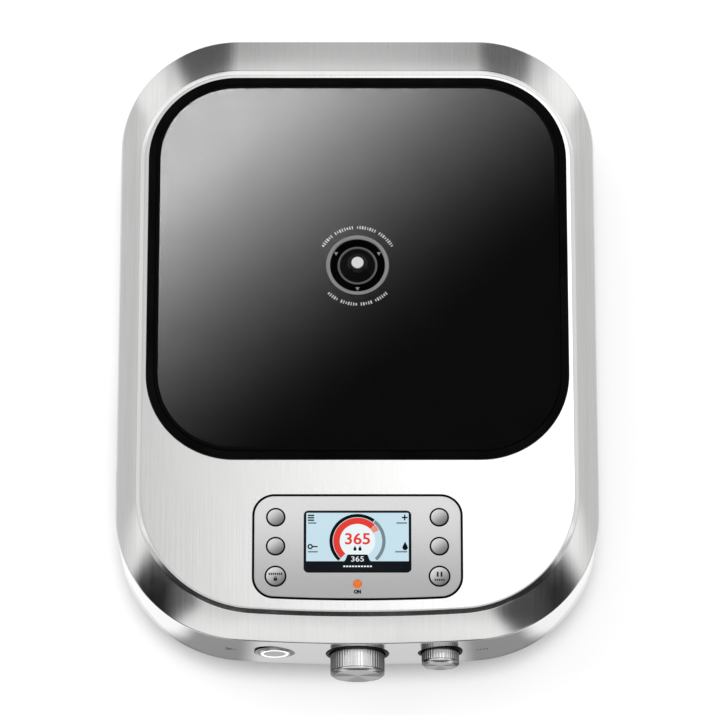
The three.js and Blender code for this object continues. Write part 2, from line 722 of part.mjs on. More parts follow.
const SINK = { x: -42, fins: 11, pitch: 7.6, fin: 2, base: 5, height: 38, length: 100 };
const CAPACITOR = { x: 50, y: -36, radius: 13, height: 30 };
const CHOKE = { x: 54, y: 18, radius: 13, tube: 5.5 };

function electronicsAssembly() {
  const sinkWidth = (SINK.fins - 1) * SINK.pitch + SINK.fin;
  const profile = [new THREE.Vector2(0, 0), new THREE.Vector2(sinkWidth, 0)];
  for (let i = SINK.fins - 1; i >= 0; i--) {
    const left = i * SINK.pitch;
    profile.push(new THREE.Vector2(left + SINK.fin, SINK.height), new THREE.Vector2(left, SINK.height));
    if (i === 0) break;
    const nextFin = left - SINK.pitch + SINK.fin;
    profile.push(new THREE.Vector2(left, SINK.base), new THREE.Vector2(nextFin, SINK.base));
  }
  const sink = new THREE.ExtrudeGeometry(new THREE.Shape(profile), { depth: SINK.length, bevelEnabled: false })
    .rotateX(QUARTER)
    .translate(-sinkWidth / 2, SINK.length / 2, 0);
  const choke = new THREE.TorusGeometry(CHOKE.radius, CHOKE.tube, 10, 20);
  const board = block(BOARD.width, BOARD.depth, BOARD.thickness);
  const capacitor = disc(CAPACITOR.radius, 0, CAPACITOR.height, ROUND_SMALL);
  return assembly(
    BOARD.x,
    BOARD.y,
    BOARD_TOP,
    piece("power_board", board, boardGreen, 0, 0, -BOARD.thickness / 2),
    piece("heatsink", sink, aluminium, SINK.x, 0, GAP),
    piece("power_transistor", block(16, 21, 5), blackPlastic, 8, 0, 2.5 + GAP),
    piece("filter_capacitor", capacitor, displayBlue, CAPACITOR.x, CAPACITOR.y, GAP),
    piece("line_choke", choke, copper, CHOKE.x, CHOKE.y, CHOKE.tube + GAP),
  );
}

// ---------------------------------------------------------------------------------------------------------
// Cooling: a fan over a filter cassette that slides out of the left side
// ---------------------------------------------------------------------------------------------------------
const FILTER = { width: 104, height: 5.2, low: PAN_FLOOR + GAP };
const RAIL_TOP = FILTER.low + FILTER.height + GAP; // the fan stands on two rails with the filter between them
const FAN = { x: -96, y: -70, low: RAIL_TOP + GAP, size: 92, depth: 25, duct: 43.5 };
const PAN_INSET = 10; // of the base pan's wall inside the body wall

function fanAssembly() {
  const half = FAN.size / 2;
  const frame = shaped(plate(roundedRectangle(0, 0, half, half, 6, 3), 0, FAN.depth), {
    cut: [disc(FAN.duct, -1, FAN.depth + 1)],
  });
  const strut = (angle) => block(2 * half - 3, 5, 2.4).translate(0, 0, FAN.depth - 1.2).rotateZ(angle);
  const mount = shaped(block(80, 2 * (FILTER.width / 2 + 4), 2.4).translate(0, 0, 1.2), {
    cut: [disc(FAN.duct, -1, 4)],
  });
  const frameWithMount = shaped(frame, {
    join: [mount, strut(QUARTER / 2), strut(-QUARTER / 2), disc(18, FAN.depth - 3, FAN.depth, ROUND_SMALL)],
  });
  const BLADES = 7;
  const blades = Array.from({ length: BLADES }, (_, i) =>
    block(26, 18, 1.6)
      .rotateX(HALF_TURN / 5)
      .translate(28.5, 0, 12)
      .rotateZ((i / BLADES) * 2 * HALF_TURN),
  );
  const rotor = shaped(disc(17, 3, FAN.depth - 3.6, ROUND_SMALL), { join: blades });
  return assembly(
    FAN.x,
    FAN.y,
    FAN.low,
    piece("fan_frame", frameWithMount, blackPlastic),
    piece("fan_rotor", rotor, blackPlastic),
  );
}

function airFilter() {
  const lip = 4;
  const wallX = -(BODY_HALF_WIDTH - PAN_INSET); // outer face of the base pan's left wall
  const middle = FILTER.low + FILTER.height / 2;
  const windows = [];
  for (const column of [-1, 0, 1]) {
    for (const row of [-1, 0, 1]) windows.push(block(28, 28, 20).translate(column * 32, row * 32, 0));
  }
  const cassette = shaped(block(FILTER.width, FILTER.width, FILTER.height), { cut: windows });
  const gripX = -FILTER.width / 2 - lip / 2 - 3.4;
  const grip = block(lip, FILTER.width + 8, FILTER.height + 4).translate(gripX, 0, 1.8);
  const neck = block(4, FILTER.width - 4, FILTER.height).translate(-FILTER.width / 2 - 1.8, 0, 0);
  const whole = shaped(cassette, { join: [neck, grip] });
  const centreX = wallX - GAP + 3.4 + FILTER.width / 2;
  return piece("air_filter", whole, filterMesh, centreX, FAN.y, middle);
}

// ---------------------------------------------------------------------------------------------------------
// Base: the pan that closes the body, four rubber feet and four screws
// ---------------------------------------------------------------------------------------------------------
const FEET = [
  { name: "foot_front_left", x: -118, y: -168 },
  { name: "foot_front_right", x: 118, y: -168 },
  { name: "foot_rear_left", x: -118, y: 178 },
  { name: "foot_rear_right", x: 118, y: 178 },
];

function basePan() {
  const flangeLow = WALL_BOTTOM - GAP - PAN_SHEET;
  const tray = loft([
    { outline: bodyOutline(SHOULDER_RIM, PAN_INSET + 6), z: PAN_BOTTOM },
    { outline: bodyOutline(SHOULDER_RIM, PAN_INSET), z: PAN_BOTTOM + 4 },
    { outline: bodyOutline(SHOULDER_RIM, PAN_INSET), z: WALL_BOTTOM - GAP },
  ]);
  const hollow = loft([
    { outline: bodyOutline(SHOULDER_RIM, PAN_INSET + 6 + PAN_SHEET), z: PAN_BOTTOM + PAN_SHEET },
    { outline: bodyOutline(SHOULDER_RIM, PAN_INSET + PAN_SHEET), z: PAN_BOTTOM + 5 },
    { outline: bodyOutline(SHOULDER_RIM, PAN_INSET + PAN_SHEET), z: WALL_BOTTOM + 1 },
  ]);
  const flange = plate(bodyOutline(SHOULDER_RIM, 2), flangeLow, WALL_BOTTOM - GAP);
  const intake = [];
  const SLATS = 9;
  for (let i = 0; i < SLATS; i++) {
    intake.push(block(84, 5, 6).translate(FAN.x, FAN.y + (i - (SLATS - 1) / 2) * 9.6, PAN_BOTTOM + 1));
  }
  const filterSlot = block(30, FILTER.width + 1.2, FILTER.height + 0.8).translate(
    -(BODY_HALF_WIDTH - PAN_INSET),
    FAN.y,
    FILTER.low + FILTER.height / 2 + 0.1,
  );
  const rails = [-1, 1].map((side) =>
    block(80, 3, RAIL_TOP - PAN_FLOOR + 1).translate(
      FAN.x,
      FAN.y + side * (FILTER.width / 2 + 2.2),
      (RAIL_TOP + PAN_FLOOR - 1) / 2,
    ),
  );
  const standoffTop = BOARD_TOP - BOARD.thickness - GAP;
  const standoffs = [-1, 1].flatMap((across) =>
    [-1, 1].map((along) =>
      disc(4, PAN_FLOOR - 1, standoffTop, 8).translate(
        BOARD.x + across * (BOARD.width / 2 - 7),
        BOARD.y + along * (BOARD.depth / 2 - 7),
        0,
      ),
    ),
  );
  const shell = shaped(tray, { join: [flange], cut: [hollow] });
  const holes = [...intake, filterSlot, ...screwHoles(flangeLow - 1, WALL_BOTTOM)];
  return shaped(shell, { join: [...rails, ...standoffs], cut: holes });
}

function baseAssembly() {
  const footProfile = [[0, 0], [12, 0], [13.5, 1.5], [15, FOOT_HEIGHT - 1], [15, FOOT_HEIGHT], [0, FOOT_HEIGHT]];
  const foot = () => turned(footProfile, ROUND_SMALL);
  const seat = WALL_BOTTOM - GAP - PAN_SHEET - GAP; // the screw heads bear on the pan's flange
  const head = seat - 2;
  const end = seat + 7;
  const screwProfile = [[0, head], [2.4, head], [3, head + 0.8], [3, seat], [1.4, seat], [1.4, end], [0, end]];
  const screw = () => turned(screwProfile, 12);
  return assembly(
    0,
    0,
    0,
    piece("base_pan", basePan(), blackPlastic),
    airFilter(),
    ...FEET.map(({ name, x, y }) => piece(name, foot(), rubber, x, y, 0)),
    ...SCREWS.map(({ name, x, y }) => piece(name, screw(), galvanised, x, y, 0)),
  );
}

// ---------------------------------------------------------------------------------------------------------
const cooktop = new THREE.Group();
cooktop.add(
  piece("housing", housing(), brushedSteel),
  glassAssembly(),
  sensorAssembly(),
  panelAssembly(),
  ...DIALS.map(dialAssembly),
  powerAssembly(),
  portAssembly(),
  glandAssembly(),
  inductionAssembly(),
  electronicsAssembly(),
  fanAssembly(),
  baseAssembly(),
);

// The dial stands out further than the gland, so the body's middle lies behind the middle of the footprint.
cooktop.position.y = (DIAL_PROTRUSION - GLAND_PROTRUSION) / 2;

export default cooktop;
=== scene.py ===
"""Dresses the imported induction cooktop: steel body, glass, pan sensor, display panel, dials and insides.

Sizes are in millimetres until a mesh is made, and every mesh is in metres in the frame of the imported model:
X to the right, Y to the back, Z up, the controls facing -Y and the feet on Z = 0.
"""

import logging
import math
from dataclasses import dataclass, field
from enum import Enum
from typing import Any, Iterable, Sequence

import bmesh
import bpy
from mathutils import Matrix, Vector


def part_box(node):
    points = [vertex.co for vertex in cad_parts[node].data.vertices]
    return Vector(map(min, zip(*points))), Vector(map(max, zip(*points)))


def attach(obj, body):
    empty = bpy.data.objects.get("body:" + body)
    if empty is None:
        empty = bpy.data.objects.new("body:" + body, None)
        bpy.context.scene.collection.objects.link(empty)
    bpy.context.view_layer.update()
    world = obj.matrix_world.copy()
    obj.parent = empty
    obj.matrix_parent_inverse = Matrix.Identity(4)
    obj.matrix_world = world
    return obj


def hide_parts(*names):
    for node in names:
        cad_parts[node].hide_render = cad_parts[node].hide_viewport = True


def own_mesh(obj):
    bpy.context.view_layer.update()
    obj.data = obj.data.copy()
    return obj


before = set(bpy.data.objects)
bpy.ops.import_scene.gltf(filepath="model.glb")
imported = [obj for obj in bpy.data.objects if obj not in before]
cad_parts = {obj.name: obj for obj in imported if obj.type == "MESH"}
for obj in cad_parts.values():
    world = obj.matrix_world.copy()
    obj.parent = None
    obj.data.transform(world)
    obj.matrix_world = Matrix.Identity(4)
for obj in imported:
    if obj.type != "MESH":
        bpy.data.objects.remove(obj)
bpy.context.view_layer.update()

MM = 0.001
TURN = 2 * math.pi
QUARTER = TURN / 4
ROOT = "cooktop"

Point = tuple[float, float]
Colour = tuple[float, float, float]

log = logging.getLogger("dressing")


# ---- Plans and meshes ----
def arc(centre: Point, radius: float, start: float, end: float, steps: int, last: bool = True) -> list[Point]:
    """Lays points along an arc.

    Args:
        centre: middle of the arc.
        radius: its radius.
        start: angle of the first point, in radians.
        end: angle of the last point, in radians.
        steps: number of chords.
        last: whether the last point is kept.

    Returns:
        The points in order.
    """
    count = steps + 1 if last else steps
    angles = [start + (end - start) * i / steps for i in range(count)]
    return [(centre[0] + radius * math.cos(a), centre[1] + radius * math.sin(a)) for a in angles]


def rounded_plan(centre: Point, half_width: float, half_depth: float, radius: float,
                 steps: int = 16) -> list[Point]:
    """Outlines a rectangle with round corners.

    Args:
        centre: middle of the rectangle.
        half_width: half its size along X.
        half_depth: half its size along Y.
        radius: corner radius.
        steps: chords in each corner.

    Returns:
        The outline, anticlockwise.
    """
    points: list[Point] = []
    for quarter, (sx, sy) in enumerate(((1, 1), (-1, 1), (-1, -1), (1, -1))):
        corner = (centre[0] + sx * (half_width - radius), centre[1] + sy * (half_depth - radius))
        points += arc(corner, radius, quarter * QUARTER, (quarter + 1) * QUARTER, steps)
    return points


@dataclass(frozen=True)
class Rim:
    """A plan with straight sides, round corners and a bowed front."""

    half_width: float
    front: float
    back: float
    front_radius: float
    back_radius: float
    bow: float = 1250.0

    def blend(self, other: "Rim", share: float) -> "Rim":
        """Returns the plan that lies that share of the way to another one."""

        def mix(a: float, b: float) -> float:
            """Returns the value between two."""
            return a + (b - a) * share

        return Rim(
            mix(self.half_width, other.half_width),
            mix(self.front, other.front),
            mix(self.back, other.back),
            mix(self.front_radius, other.front_radius),
            mix(self.back_radius, other.back_radius),
            self.bow,
        )

    def plan(self, inset: float = 0.0, steps: int = 26) -> list[Point]:
        """Outlines the plan.

        Args:
            inset: distance by which the outline is moved inwards.
            steps: chords in each corner.

        Returns:
            The outline, anticlockwise from the left end of the front.
        """
        corner = self.front_radius - inset
        bow_y = self.front + self.bow
        corner_x = self.half_width - self.front_radius
        reach = math.sqrt((self.bow - self.front_radius) ** 2 - corner_x**2)
        turn = math.atan2(corner_x, reach)
        rear_x, rear_y = self.half_width - self.back_radius, self.back - self.back_radius
        rear = self.back_radius - inset
        return (
            arc((0, bow_y), self.bow - inset, -QUARTER - turn, -QUARTER + turn, 36, False)
            + arc((corner_x, bow_y - reach), corner, -QUARTER + turn, 0, steps)
            + arc((rear_x, rear_y), rear, 0, QUARTER, steps)
            + arc((-rear_x, rear_y), rear, QUARTER, 2 * QUARTER, steps)
            + arc((-corner_x, bow_y - reach), corner, 2 * QUARTER, 3 * QUARTER - turn, steps, False)
        )


def mesh_of(work: bmesh.types.BMesh, name: str = "shape") -> bpy.types.Mesh:
    """Turns working geometry in millimetres into a mesh in metres, with its faces outwards.

    Args:
        work: the geometry, which is freed.
        name: name of the mesh.

    Returns:
        The mesh.
    """
    bmesh.ops.remove_doubles(work, verts=work.verts, dist=1e-4)
    bmesh.ops.recalc_face_normals(work, faces=work.faces)
    bmesh.ops.scale(work, vec=(MM, MM, MM), verts=work.verts)
    mesh = bpy.data.meshes.new(name)
    work.to_mesh(mesh)
    work.free()
    return mesh


def loft(sections: Sequence[tuple[Sequence[Point], float]]) -> bpy.types.Mesh:
    """Makes a closed body through outlines with equal numbers of points.

    Args:
        sections: outlines and their heights.

    Returns:
        The mesh, flat at both ends.
    """
    work = bmesh.new()
    rings = [[work.verts.new((x, y, z)) for x, y in outline] for outline, z in sections]
    count = len(rings[0])
    for low, high in zip(rings, rings[1:]):
        for i in range(count):
            j = (i + 1) % count
            work.faces.new((low[i], low[j], high[j], high[i]))
    work.faces.new(list(reversed(rings[0])))
    work.faces.new(rings[-1])
    return mesh_of(work)


def slab(outline: Sequence[Point], low: float, high: float) -> bpy.types.Mesh:
    """Returns a plate of that outline between two heights."""
    return loft([(outline, low), (outline, high)])


def turned(profile: Sequence[Point], segments: int = 96) -> bpy.types.Mesh:
    """Turns a profile about Z.

    Args:
        profile: radius and height of each corner. It starts and ends on the axis, or closes on itself.
        segments: number of facets round the axis.

    Returns:
        The closed mesh.
    """
    work = bmesh.new()
    rings: list[list[bmesh.types.BMVert]] = []
    for radius, z in profile:
        if radius < 1e-6:
            rings.append([work.verts.new((0, 0, z))])
            continue
        angles = [TURN * i / segments for i in range(segments)]
        rings.append([work.verts.new((radius * math.cos(a), radius * math.sin(a), z)) for a in angles])
    pairs = list(zip(rings, rings[1:]))
    if profile[0][0] > 1e-6:
        pairs.append((rings[-1], rings[0]))
    for low, high in pairs:
        for i in range(segments):
            j = (i + 1) % segments
            corners = [low[i % len(low)], low[j % len(low)], high[j % len(high)], high[i % len(high)]]
            unique = list(dict.fromkeys(corners))
            if len(unique) > 2:
                work.faces.new(unique)
    return mesh_of(work)


def block(centre: tuple[float, float, float], size: tuple[float, float, float]) -> bpy.types.Mesh:
    """Returns a box as a cutter or a plain inner part."""
    half_width, half_depth, half_height = (s / 2 for s in size)
    outline = [(centre[0] + sx * half_width, centre[1] + sy * half_depth)
               for sx, sy in ((-1, -1), (1, -1), (1, 1), (-1, 1))]
    return slab(outline, centre[2] - half_height, centre[2] + half_height)


def moved(mesh: bpy.types.Mesh, place: Matrix) -> bpy.types.Mesh:
    """Puts a mesh in its place and returns it."""
    mesh.transform(place)
    return mesh


def joined(meshes: Iterable[bpy.types.Mesh]) -> bpy.types.Mesh:
    """Returns one mesh that holds all of the given ones."""
    work = bmesh.new()
    for mesh in meshes:
        work.from_mesh(mesh)
        bpy.data.meshes.remove(mesh)
    result = bpy.data.meshes.new("joined")
    work.to_mesh(result)
    work.free()
    return result


def evaluated(obj: bpy.types.Object) -> bpy.types.Mesh:
    """Applies an object's modifiers.

    Args:
        obj: a working object, which is removed.

    Returns:
        A plain mesh with the modifiers' result.
    """
    bpy.context.view_layer.update()
    graph = bpy.context.evaluated_depsgraph_get()
    mesh = bpy.data.meshes.new_from_object(obj.evaluated_get(graph), depsgraph=graph)
    bpy.data.objects.remove(obj)
    return mesh


def working(mesh: bpy.types.Mesh) -> bpy.types.Object:
    """Returns a temporary object with that mesh."""
    obj = bpy.data.objects.new("working", mesh)
    bpy.context.scene.collection.objects.link(obj)
    return obj


def carved(mesh: bpy.types.Mesh, *cutters: bpy.types.Mesh) -> bpy.types.Mesh:
    """Cuts other bodies from a body.

    Args:
        mesh: the body.
        *cutters: closed bodies that don't touch each other.

    Returns:
        What is left.
    """
    obj, tool = working(mesh), working(joined(cutters))
    cut = obj.modifiers.new("cut", "BOOLEAN")
    cut.operation, cut.solver, cut.object = "DIFFERENCE", "EXACT", tool
    result = evaluated(obj)
    bpy.data.objects.remove(tool)
    return result


def softened(mesh: bpy.types.Mesh, width: float, segments: int = 3, angle: float = 40.0) -> bpy.types.Mesh:
    """Rounds the sharp edges of a mesh.

    Args:
        mesh: the mesh.
        width: size of the rounding, in millimetres.
        segments: facets across it.
        angle: edges sharper than this are rounded, in degrees.

    Returns:
        The rounded mesh.
    """
    obj = working(mesh)
    bevel = obj.modifiers.new("round", "BEVEL")
    bevel.width, bevel.segments = width * MM, segments
    bevel.limit_method, bevel.angle_limit = "ANGLE", math.radians(angle)
    return evaluated(obj)


def lettering(text: str, height: float, thickness: float, centre: Point, level: float, weight: float = 0.02,
              stretch: float = 1.0) -> bpy.types.Mesh:
    """Makes raised numerals or a short generic word.

    Args:
        text: what is written.
        height: height of the characters.
        thickness: how far they stand up.
        centre: middle of the line.
        level: height of the surface that they stand on.
        weight: how much the strokes are thickened, as a share of the characters' height.
        stretch: how much the characters are widened.

    Returns:
        The mesh, in place.
    """
    curve = bpy.data.curves.new("lettering", "FONT")
    curve.body, curve.size, curve.extrude, curve.offset = text, 1.0, 0.02, weight
    curve.resolution_u = 4
    curve.align_x = "CENTER"
    obj = bpy.data.objects.new("lettering", curve)
    bpy.context.scene.collection.objects.link(obj)
    mesh = evaluated(obj)
    bpy.data.curves.remove(curve)
    ys = [v.co.y for v in mesh.vertices]
    scale = height * MM / (max(ys) - min(ys))
    middle = (max(ys) + min(ys)) / 2
    flat = thickness * MM / 0.04
    place = Matrix.Translation((centre[0] * MM, centre[1] * MM, (level + thickness / 2) * MM))
    shape = Matrix.Diagonal((scale * stretch, scale, flat, 1)) @ Matrix.Translation((0, -middle, 0))
    return moved(mesh, place @ shape)


def at(x: float, y: float, z: float = 0.0) -> Matrix:
    """Returns the place of a point given in millimetres."""
    return Matrix.Translation((x * MM, y * MM, z * MM))


def tipped(axis: str, quarters: int = 1) -> Matrix:
    """Returns a turn by that many quarters about X or Y."""
    return Matrix.Rotation(quarters * QUARTER, 4, axis)


def rod(radius: float, low: float, high: float, segments: int = 96) -> bpy.types.Mesh:
    """Returns a round bar about Z between two heights, mostly used as a drill."""
    return turned([(0, low), (radius, low), (radius, high), (0, high)], segments)


def span(node: str) -> tuple[Vector, Vector]:
    """Returns a node's lowest and highest corners in millimetres."""
    low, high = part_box(node)
    return low / MM, high / MM


def middle_of(node: str) -> Vector:
    """Returns the middle of a node's box in millimetres."""
    low, high = span(node)
    return (low + high) / 2


CORNERS = ("front_left", "front_right", "rear_left", "rear_right")
SCREW_NODES = [f"base_screw_{side}" for side in CORNERS]
BODY_Y = sum(corner.y for corner in span("housing")) / 2
GLASS_Y = sum(corner.y for corner in span("glass_top")) / 2


# ---- Geometry Nodes ----
class ShapeTree:
    """A Geometry Nodes tree with named inputs, which ends in real, dressed geometry."""

    def __init__(self, name: str) -> None:
        """Starts an empty tree of that name."""
        self.group = bpy.data.node_groups.new(name, "GeometryNodeTree")
        self.group.interface.new_socket("Geometry", in_out="OUTPUT", socket_type="NodeSocketGeometry")
        self.start = self.group.nodes.new("NodeGroupInput")

    def size(self, name: str, kind: str = "NodeSocketFloat") -> bpy.types.NodeSocket:
        """Adds a named input and returns its socket."""
        self.group.interface.new_socket(name, in_out="INPUT", socket_type=kind)
        return self.start.outputs[name]

    def node(self, kind: str, settings: dict[str, Any] | None = None, **inputs: Any) -> bpy.types.Node:
        """Adds a node.

        Args:
            kind: its type, without the prefix.
            settings: properties of the node.
            **inputs: a socket or a value for each input, with spaces written as underscores.

        Returns:
            The node.
        """
        made = self.group.nodes.new(kind)
        for key, value in (settings or {}).items():
            setattr(made, key, value)
        for key, value in inputs.items():
            target = made.inputs[int(key[1:])] if key[1:].isdigit() else made.inputs[key.replace("_", " ")]
            if isinstance(value, bpy.types.NodeSocket):
                self.group.links.new(value, target)
            else:
                target.default_value = value
        return made

    def maths(self, operation: str, a: Any, b: Any = 0.0) -> bpy.types.NodeSocket:
        """Returns the result of a calculation."""
        return self.node("ShaderNodeMath", {"operation": operation}, i0=a, i1=b).outputs[0]

    def vector(self, x: Any = 0.0, y: Any = 0.0, z: Any = 0.0) -> bpy.types.NodeSocket:
        """Returns a vector of three values."""
        return self.node("ShaderNodeCombineXYZ", None, X=x, Y=y, Z=z).outputs[0]

    def grow(self, shape: bpy.types.NodeSocket, finish: bpy.types.Material, **sizes: float) -> bpy.types.Mesh:
        """Ends the tree, runs it and returns its result.

        Args:
            shape: the geometry to keep.
            finish: the material that it is given.
            **sizes: a value for each named input, with spaces written as underscores.

        Returns:
            A plain mesh.
        """
        real = self.node("GeometryNodeRealizeInstances", None, Geometry=shape)
        dressed = self.node("GeometryNodeSetMaterial", None, Geometry=real.outputs[0])
        dressed.inputs["Material"].default_value = finish
        end = self.group.nodes.new("NodeGroupOutput")
        self.group.links.new(dressed.outputs[0], end.inputs[0])
        obj = working(bpy.data.meshes.new("grown"))
        modifier = obj.modifiers.new("shape", "NODES")
        modifier.node_group = self.group
        for socket in self.group.interface.items_tree:
            key = socket.name.replace(" ", "_")
            if socket.in_out == "INPUT" and key in sizes:
                modifier[socket.identifier] = sizes[key]
        return evaluated(obj)


def round_row(finish: bpy.types.Material, count: int, radius: float, size: tuple[float, float, float],
              tilt: float = 0.0, sides: int = 0) -> bpy.types.Mesh:
    """Places copies of a bar evenly round the Z axis.

    Args:
        finish: their material.
        count: number of bars.
        radius: distance of each bar's middle from the axis, in millimetres.
        size: the bar's size outwards, across and along the axis, in millimetres.
        tilt: turn of each bar about its outward direction, in radians.
        sides: sides of a round bar, or 0 for a rectangular one.

    Returns:
        One mesh of all the bars.
    """
    tree = ShapeTree("round_row")
    number = tree.size("Count", "NodeSocketInt")
    distance, lean = tree.size("Radius"), tree.size("Tilt")
    long, wide, tall = tree.size("Length"), tree.size("Width"), tree.size("Height")
    if sides:
        half = tree.maths("DIVIDE", wide, 2.0)
        bar = tree.node("GeometryNodeMeshCylinder", None, Vertices=sides, Radius=half,
                        Depth=tall).outputs["Mesh"]
    else:
        bar = tree.node("GeometryNodeMeshCube", None, Size=tree.vector(long, wide, tall)).outputs["Mesh"]
    leaning = tree.node("GeometryNodeTransform", None, Geometry=bar, Rotation=tree.vector(x=lean)).outputs[0]
    outwards = tree.node("GeometryNodeTransform", None, Geometry=leaning,
                         Translation=tree.vector(x=distance)).outputs[0]
    points = tree.node("GeometryNodePoints", None, Count=number).outputs[0]
    index = tree.node("GeometryNodeInputIndex").outputs[0]
    share = tree.maths("DIVIDE", index, number)
    turn = tree.vector(z=tree.maths("MULTIPLY", share, TURN))
    placed = tree.node("GeometryNodeInstanceOnPoints", None, Points=points, Instance=outwards, Rotation=turn)
    return tree.grow(placed.outputs[0], finish, Count=count, Radius=radius * MM, Tilt=tilt,
                     Length=size[0] * MM, Width=size[1] * MM, Height=size[2] * MM)


def straight_row(finish: bpy.types.Material, count: int, pitch: tuple[float, float, float],
                 size: tuple[float, float, float]) -> bpy.types.Mesh:
    """Places copies of a box in a row that is centred on the origin.

    Args:
        finish: their material.
        count: number of boxes.
        pitch: step from one to the next, in millimetres.
        size: size of each box, in millimetres.

    Returns:
        One mesh of all the boxes.
    """
    tree = ShapeTree("straight_row")
    number = tree.size("Count", "NodeSocketInt")
    step, extent = tree.size("Pitch", "NodeSocketVector"), tree.size("Size", "NodeSocketVector")
    bar = tree.node("GeometryNodeMeshCube", None, Size=extent).outputs["Mesh"]
    middle = tree.maths("DIVIDE", tree.maths("SUBTRACT", number, 1.0), -2.0)
    start = tree.node("ShaderNodeVectorMath", {"operation": "SCALE"}, Vector=step, Scale=middle).outputs[0]
    line = tree.node("GeometryNodeMeshLine", None, Count=number, Start_Location=start, Offset=step).outputs[0]
    placed = tree.node("GeometryNodeInstanceOnPoints", None, Points=line, Instance=bar)
    return tree.grow(placed.outputs[0], finish, Count=count, Pitch=[p * MM for p in pitch],
                     Size=[s * MM for s in size])


def spiral_wire(finish: bpy.types.Material, inner: float, outer: float, turns: float, gauge: Point,
                rise: float = 0.0) -> bpy.types.Mesh:
    """Winds a flat spiral or a coil spring of round wire about Z.

    Args:
        finish: the wire's material.
        inner: radius of the first turn's middle, in millimetres.
        outer: radius of the last turn's middle, in millimetres.
        turns: number of turns.
        gauge: width and height of the wire, in millimetres.
        rise: height of the last turn's end over the first one's start, in millimetres.

    Returns:
        The winding.
    """
    tree = ShapeTree("spiral_wire")
    first, last, rounds = tree.size("Inner"), tree.size("Outer"), tree.size("Turns")
    wide, tall, climb = tree.size("Width"), tree.size("Height"), tree.size("Rise")
    path = tree.node("GeometryNodeCurveSpiral", None, Resolution=64, Rotations=rounds, Start_Radius=first,
                     End_Radius=last, Height=climb)
    ring = tree.node("GeometryNodeCurvePrimitiveCircle", None, Resolution=10, Radius=0.5).outputs[0]
    section = tree.node("GeometryNodeTransform", None, Geometry=ring,
                        Scale=tree.vector(wide, tall, 1.0)).outputs[0]
    wire = tree.node("GeometryNodeCurveToMesh", None, Curve=path.outputs[0], Profile_Curve=section,
                     Fill_Caps=True)
    return tree.grow(wire.outputs[0], finish, Inner=inner * MM, Outer=outer * MM, Turns=turns,
                     Width=gauge[0] * MM, Height=gauge[1] * MM, Rise=rise * MM)


# ---- Shader graphs ----
class Graph:
    """Short calls for building a shader graph."""

    def __init__(self, tree: bpy.types.NodeTree) -> None:
        """Works on that tree."""
        self.tree = tree

    def node(self, kind: str, settings: dict[str, Any] | None = None, **inputs: Any) -> bpy.types.Node:
        """Adds a node.

        Args:
            kind: its type, without the ShaderNode prefix.
            settings: properties of the node.
            **inputs: a socket or a value for each input, with spaces written as underscores.

        Returns:
            The node.
        """
        made = self.tree.nodes.new("ShaderNode" + kind)
        for key, value in (settings or {}).items():
            setattr(made, key, value)
        for key, value in inputs.items():
            target = made.inputs[int(key[1:])] if key[1:].isdigit() else made.inputs[key.replace("_", " ")]
            self.put(value, target)
        return made

    def put(self, value: Any, target: bpy.types.NodeSocket) -> None:
        """Links or sets an input."""
        if isinstance(value, bpy.types.NodeSocket):
            self.tree.links.new(value, target)
        elif isinstance(value, tuple) and len(value) == 3 and target.type == "RGBA":
            target.default_value = (*value, 1.0)
        else:
            target.default_value = value

    def maths(self, operation: str, a: Any, b: Any = 0.0) -> bpy.types.NodeSocket:
        """Returns the result of a calculation."""
        return self.node("Math", {"operation": operation}, i0=a, i1=b).outputs[0]

    def ramp(self, value: Any, low: float, high: float, to_low: float = 0.0,
             to_high: float = 1.0) -> bpy.types.NodeSocket:
        """Returns a value carried smoothly from one range to another."""
        ranged = self.node("MapRange", {"interpolation_type": "SMOOTHSTEP"}, Value=value)
        for key, number in (("From Min", low), ("From Max", high), ("To Min", to_low), ("To Max", to_high)):
            ranged.inputs[key].default_value = number
        return ranged.outputs[0]

    def mix(self, share: Any, a: Any, b: Any) -> bpy.types.NodeSocket:
        """Returns a colour between two."""
        mixed = self.node("Mix", {"data_type": "RGBA"})
        self.put(share, mixed.inputs["Factor"])
        self.put(a, mixed.inputs[6])
        self.put(b, mixed.inputs[7])
        return mixed.outputs[2]

    def scaled(self, vector: Any, scale: tuple[float, float, float]) -> bpy.types.NodeSocket:
        """Returns a vector multiplied part by part."""
        return self.node("VectorMath", {"operation": "MULTIPLY"}, i0=vector, i1=scale).outputs[0]

    def group(self, tree: bpy.types.NodeTree, **inputs: Any) -> bpy.types.Node:
        """Places a node group with its own values."""
        made = self.tree.nodes.new("ShaderNodeGroup")
        made.node_tree = tree
        for key, value in inputs.items():
            self.put(value, made.inputs[key.replace("_", " ")])
        return made


def shared_group(name: str, inputs: Sequence[tuple[str, str]],
                 outputs: Sequence[str]) -> tuple[Graph, Any, Any] | None:
    """Starts a shader group, unless it is there already.

    Args:
        name: the group's name.
        inputs: name and socket type of each input.
        outputs: name of each value that it puts out.

    Returns:
        The graph with its input and output nodes, or None when the group exists.
    """
    if name in bpy.data.node_groups:
        return None
    tree = bpy.data.node_groups.new(name, "ShaderNodeTree")
    for label, kind in inputs:
        tree.interface.new_socket(label, in_out="INPUT", socket_type=kind)
    for label in outputs:
        tree.interface.new_socket(label, in_out="OUTPUT", socket_type="NodeSocketFloat")
    return Graph(tree), tree.nodes.new("NodeGroupInput"), tree.nodes.new("NodeGroupOutput")


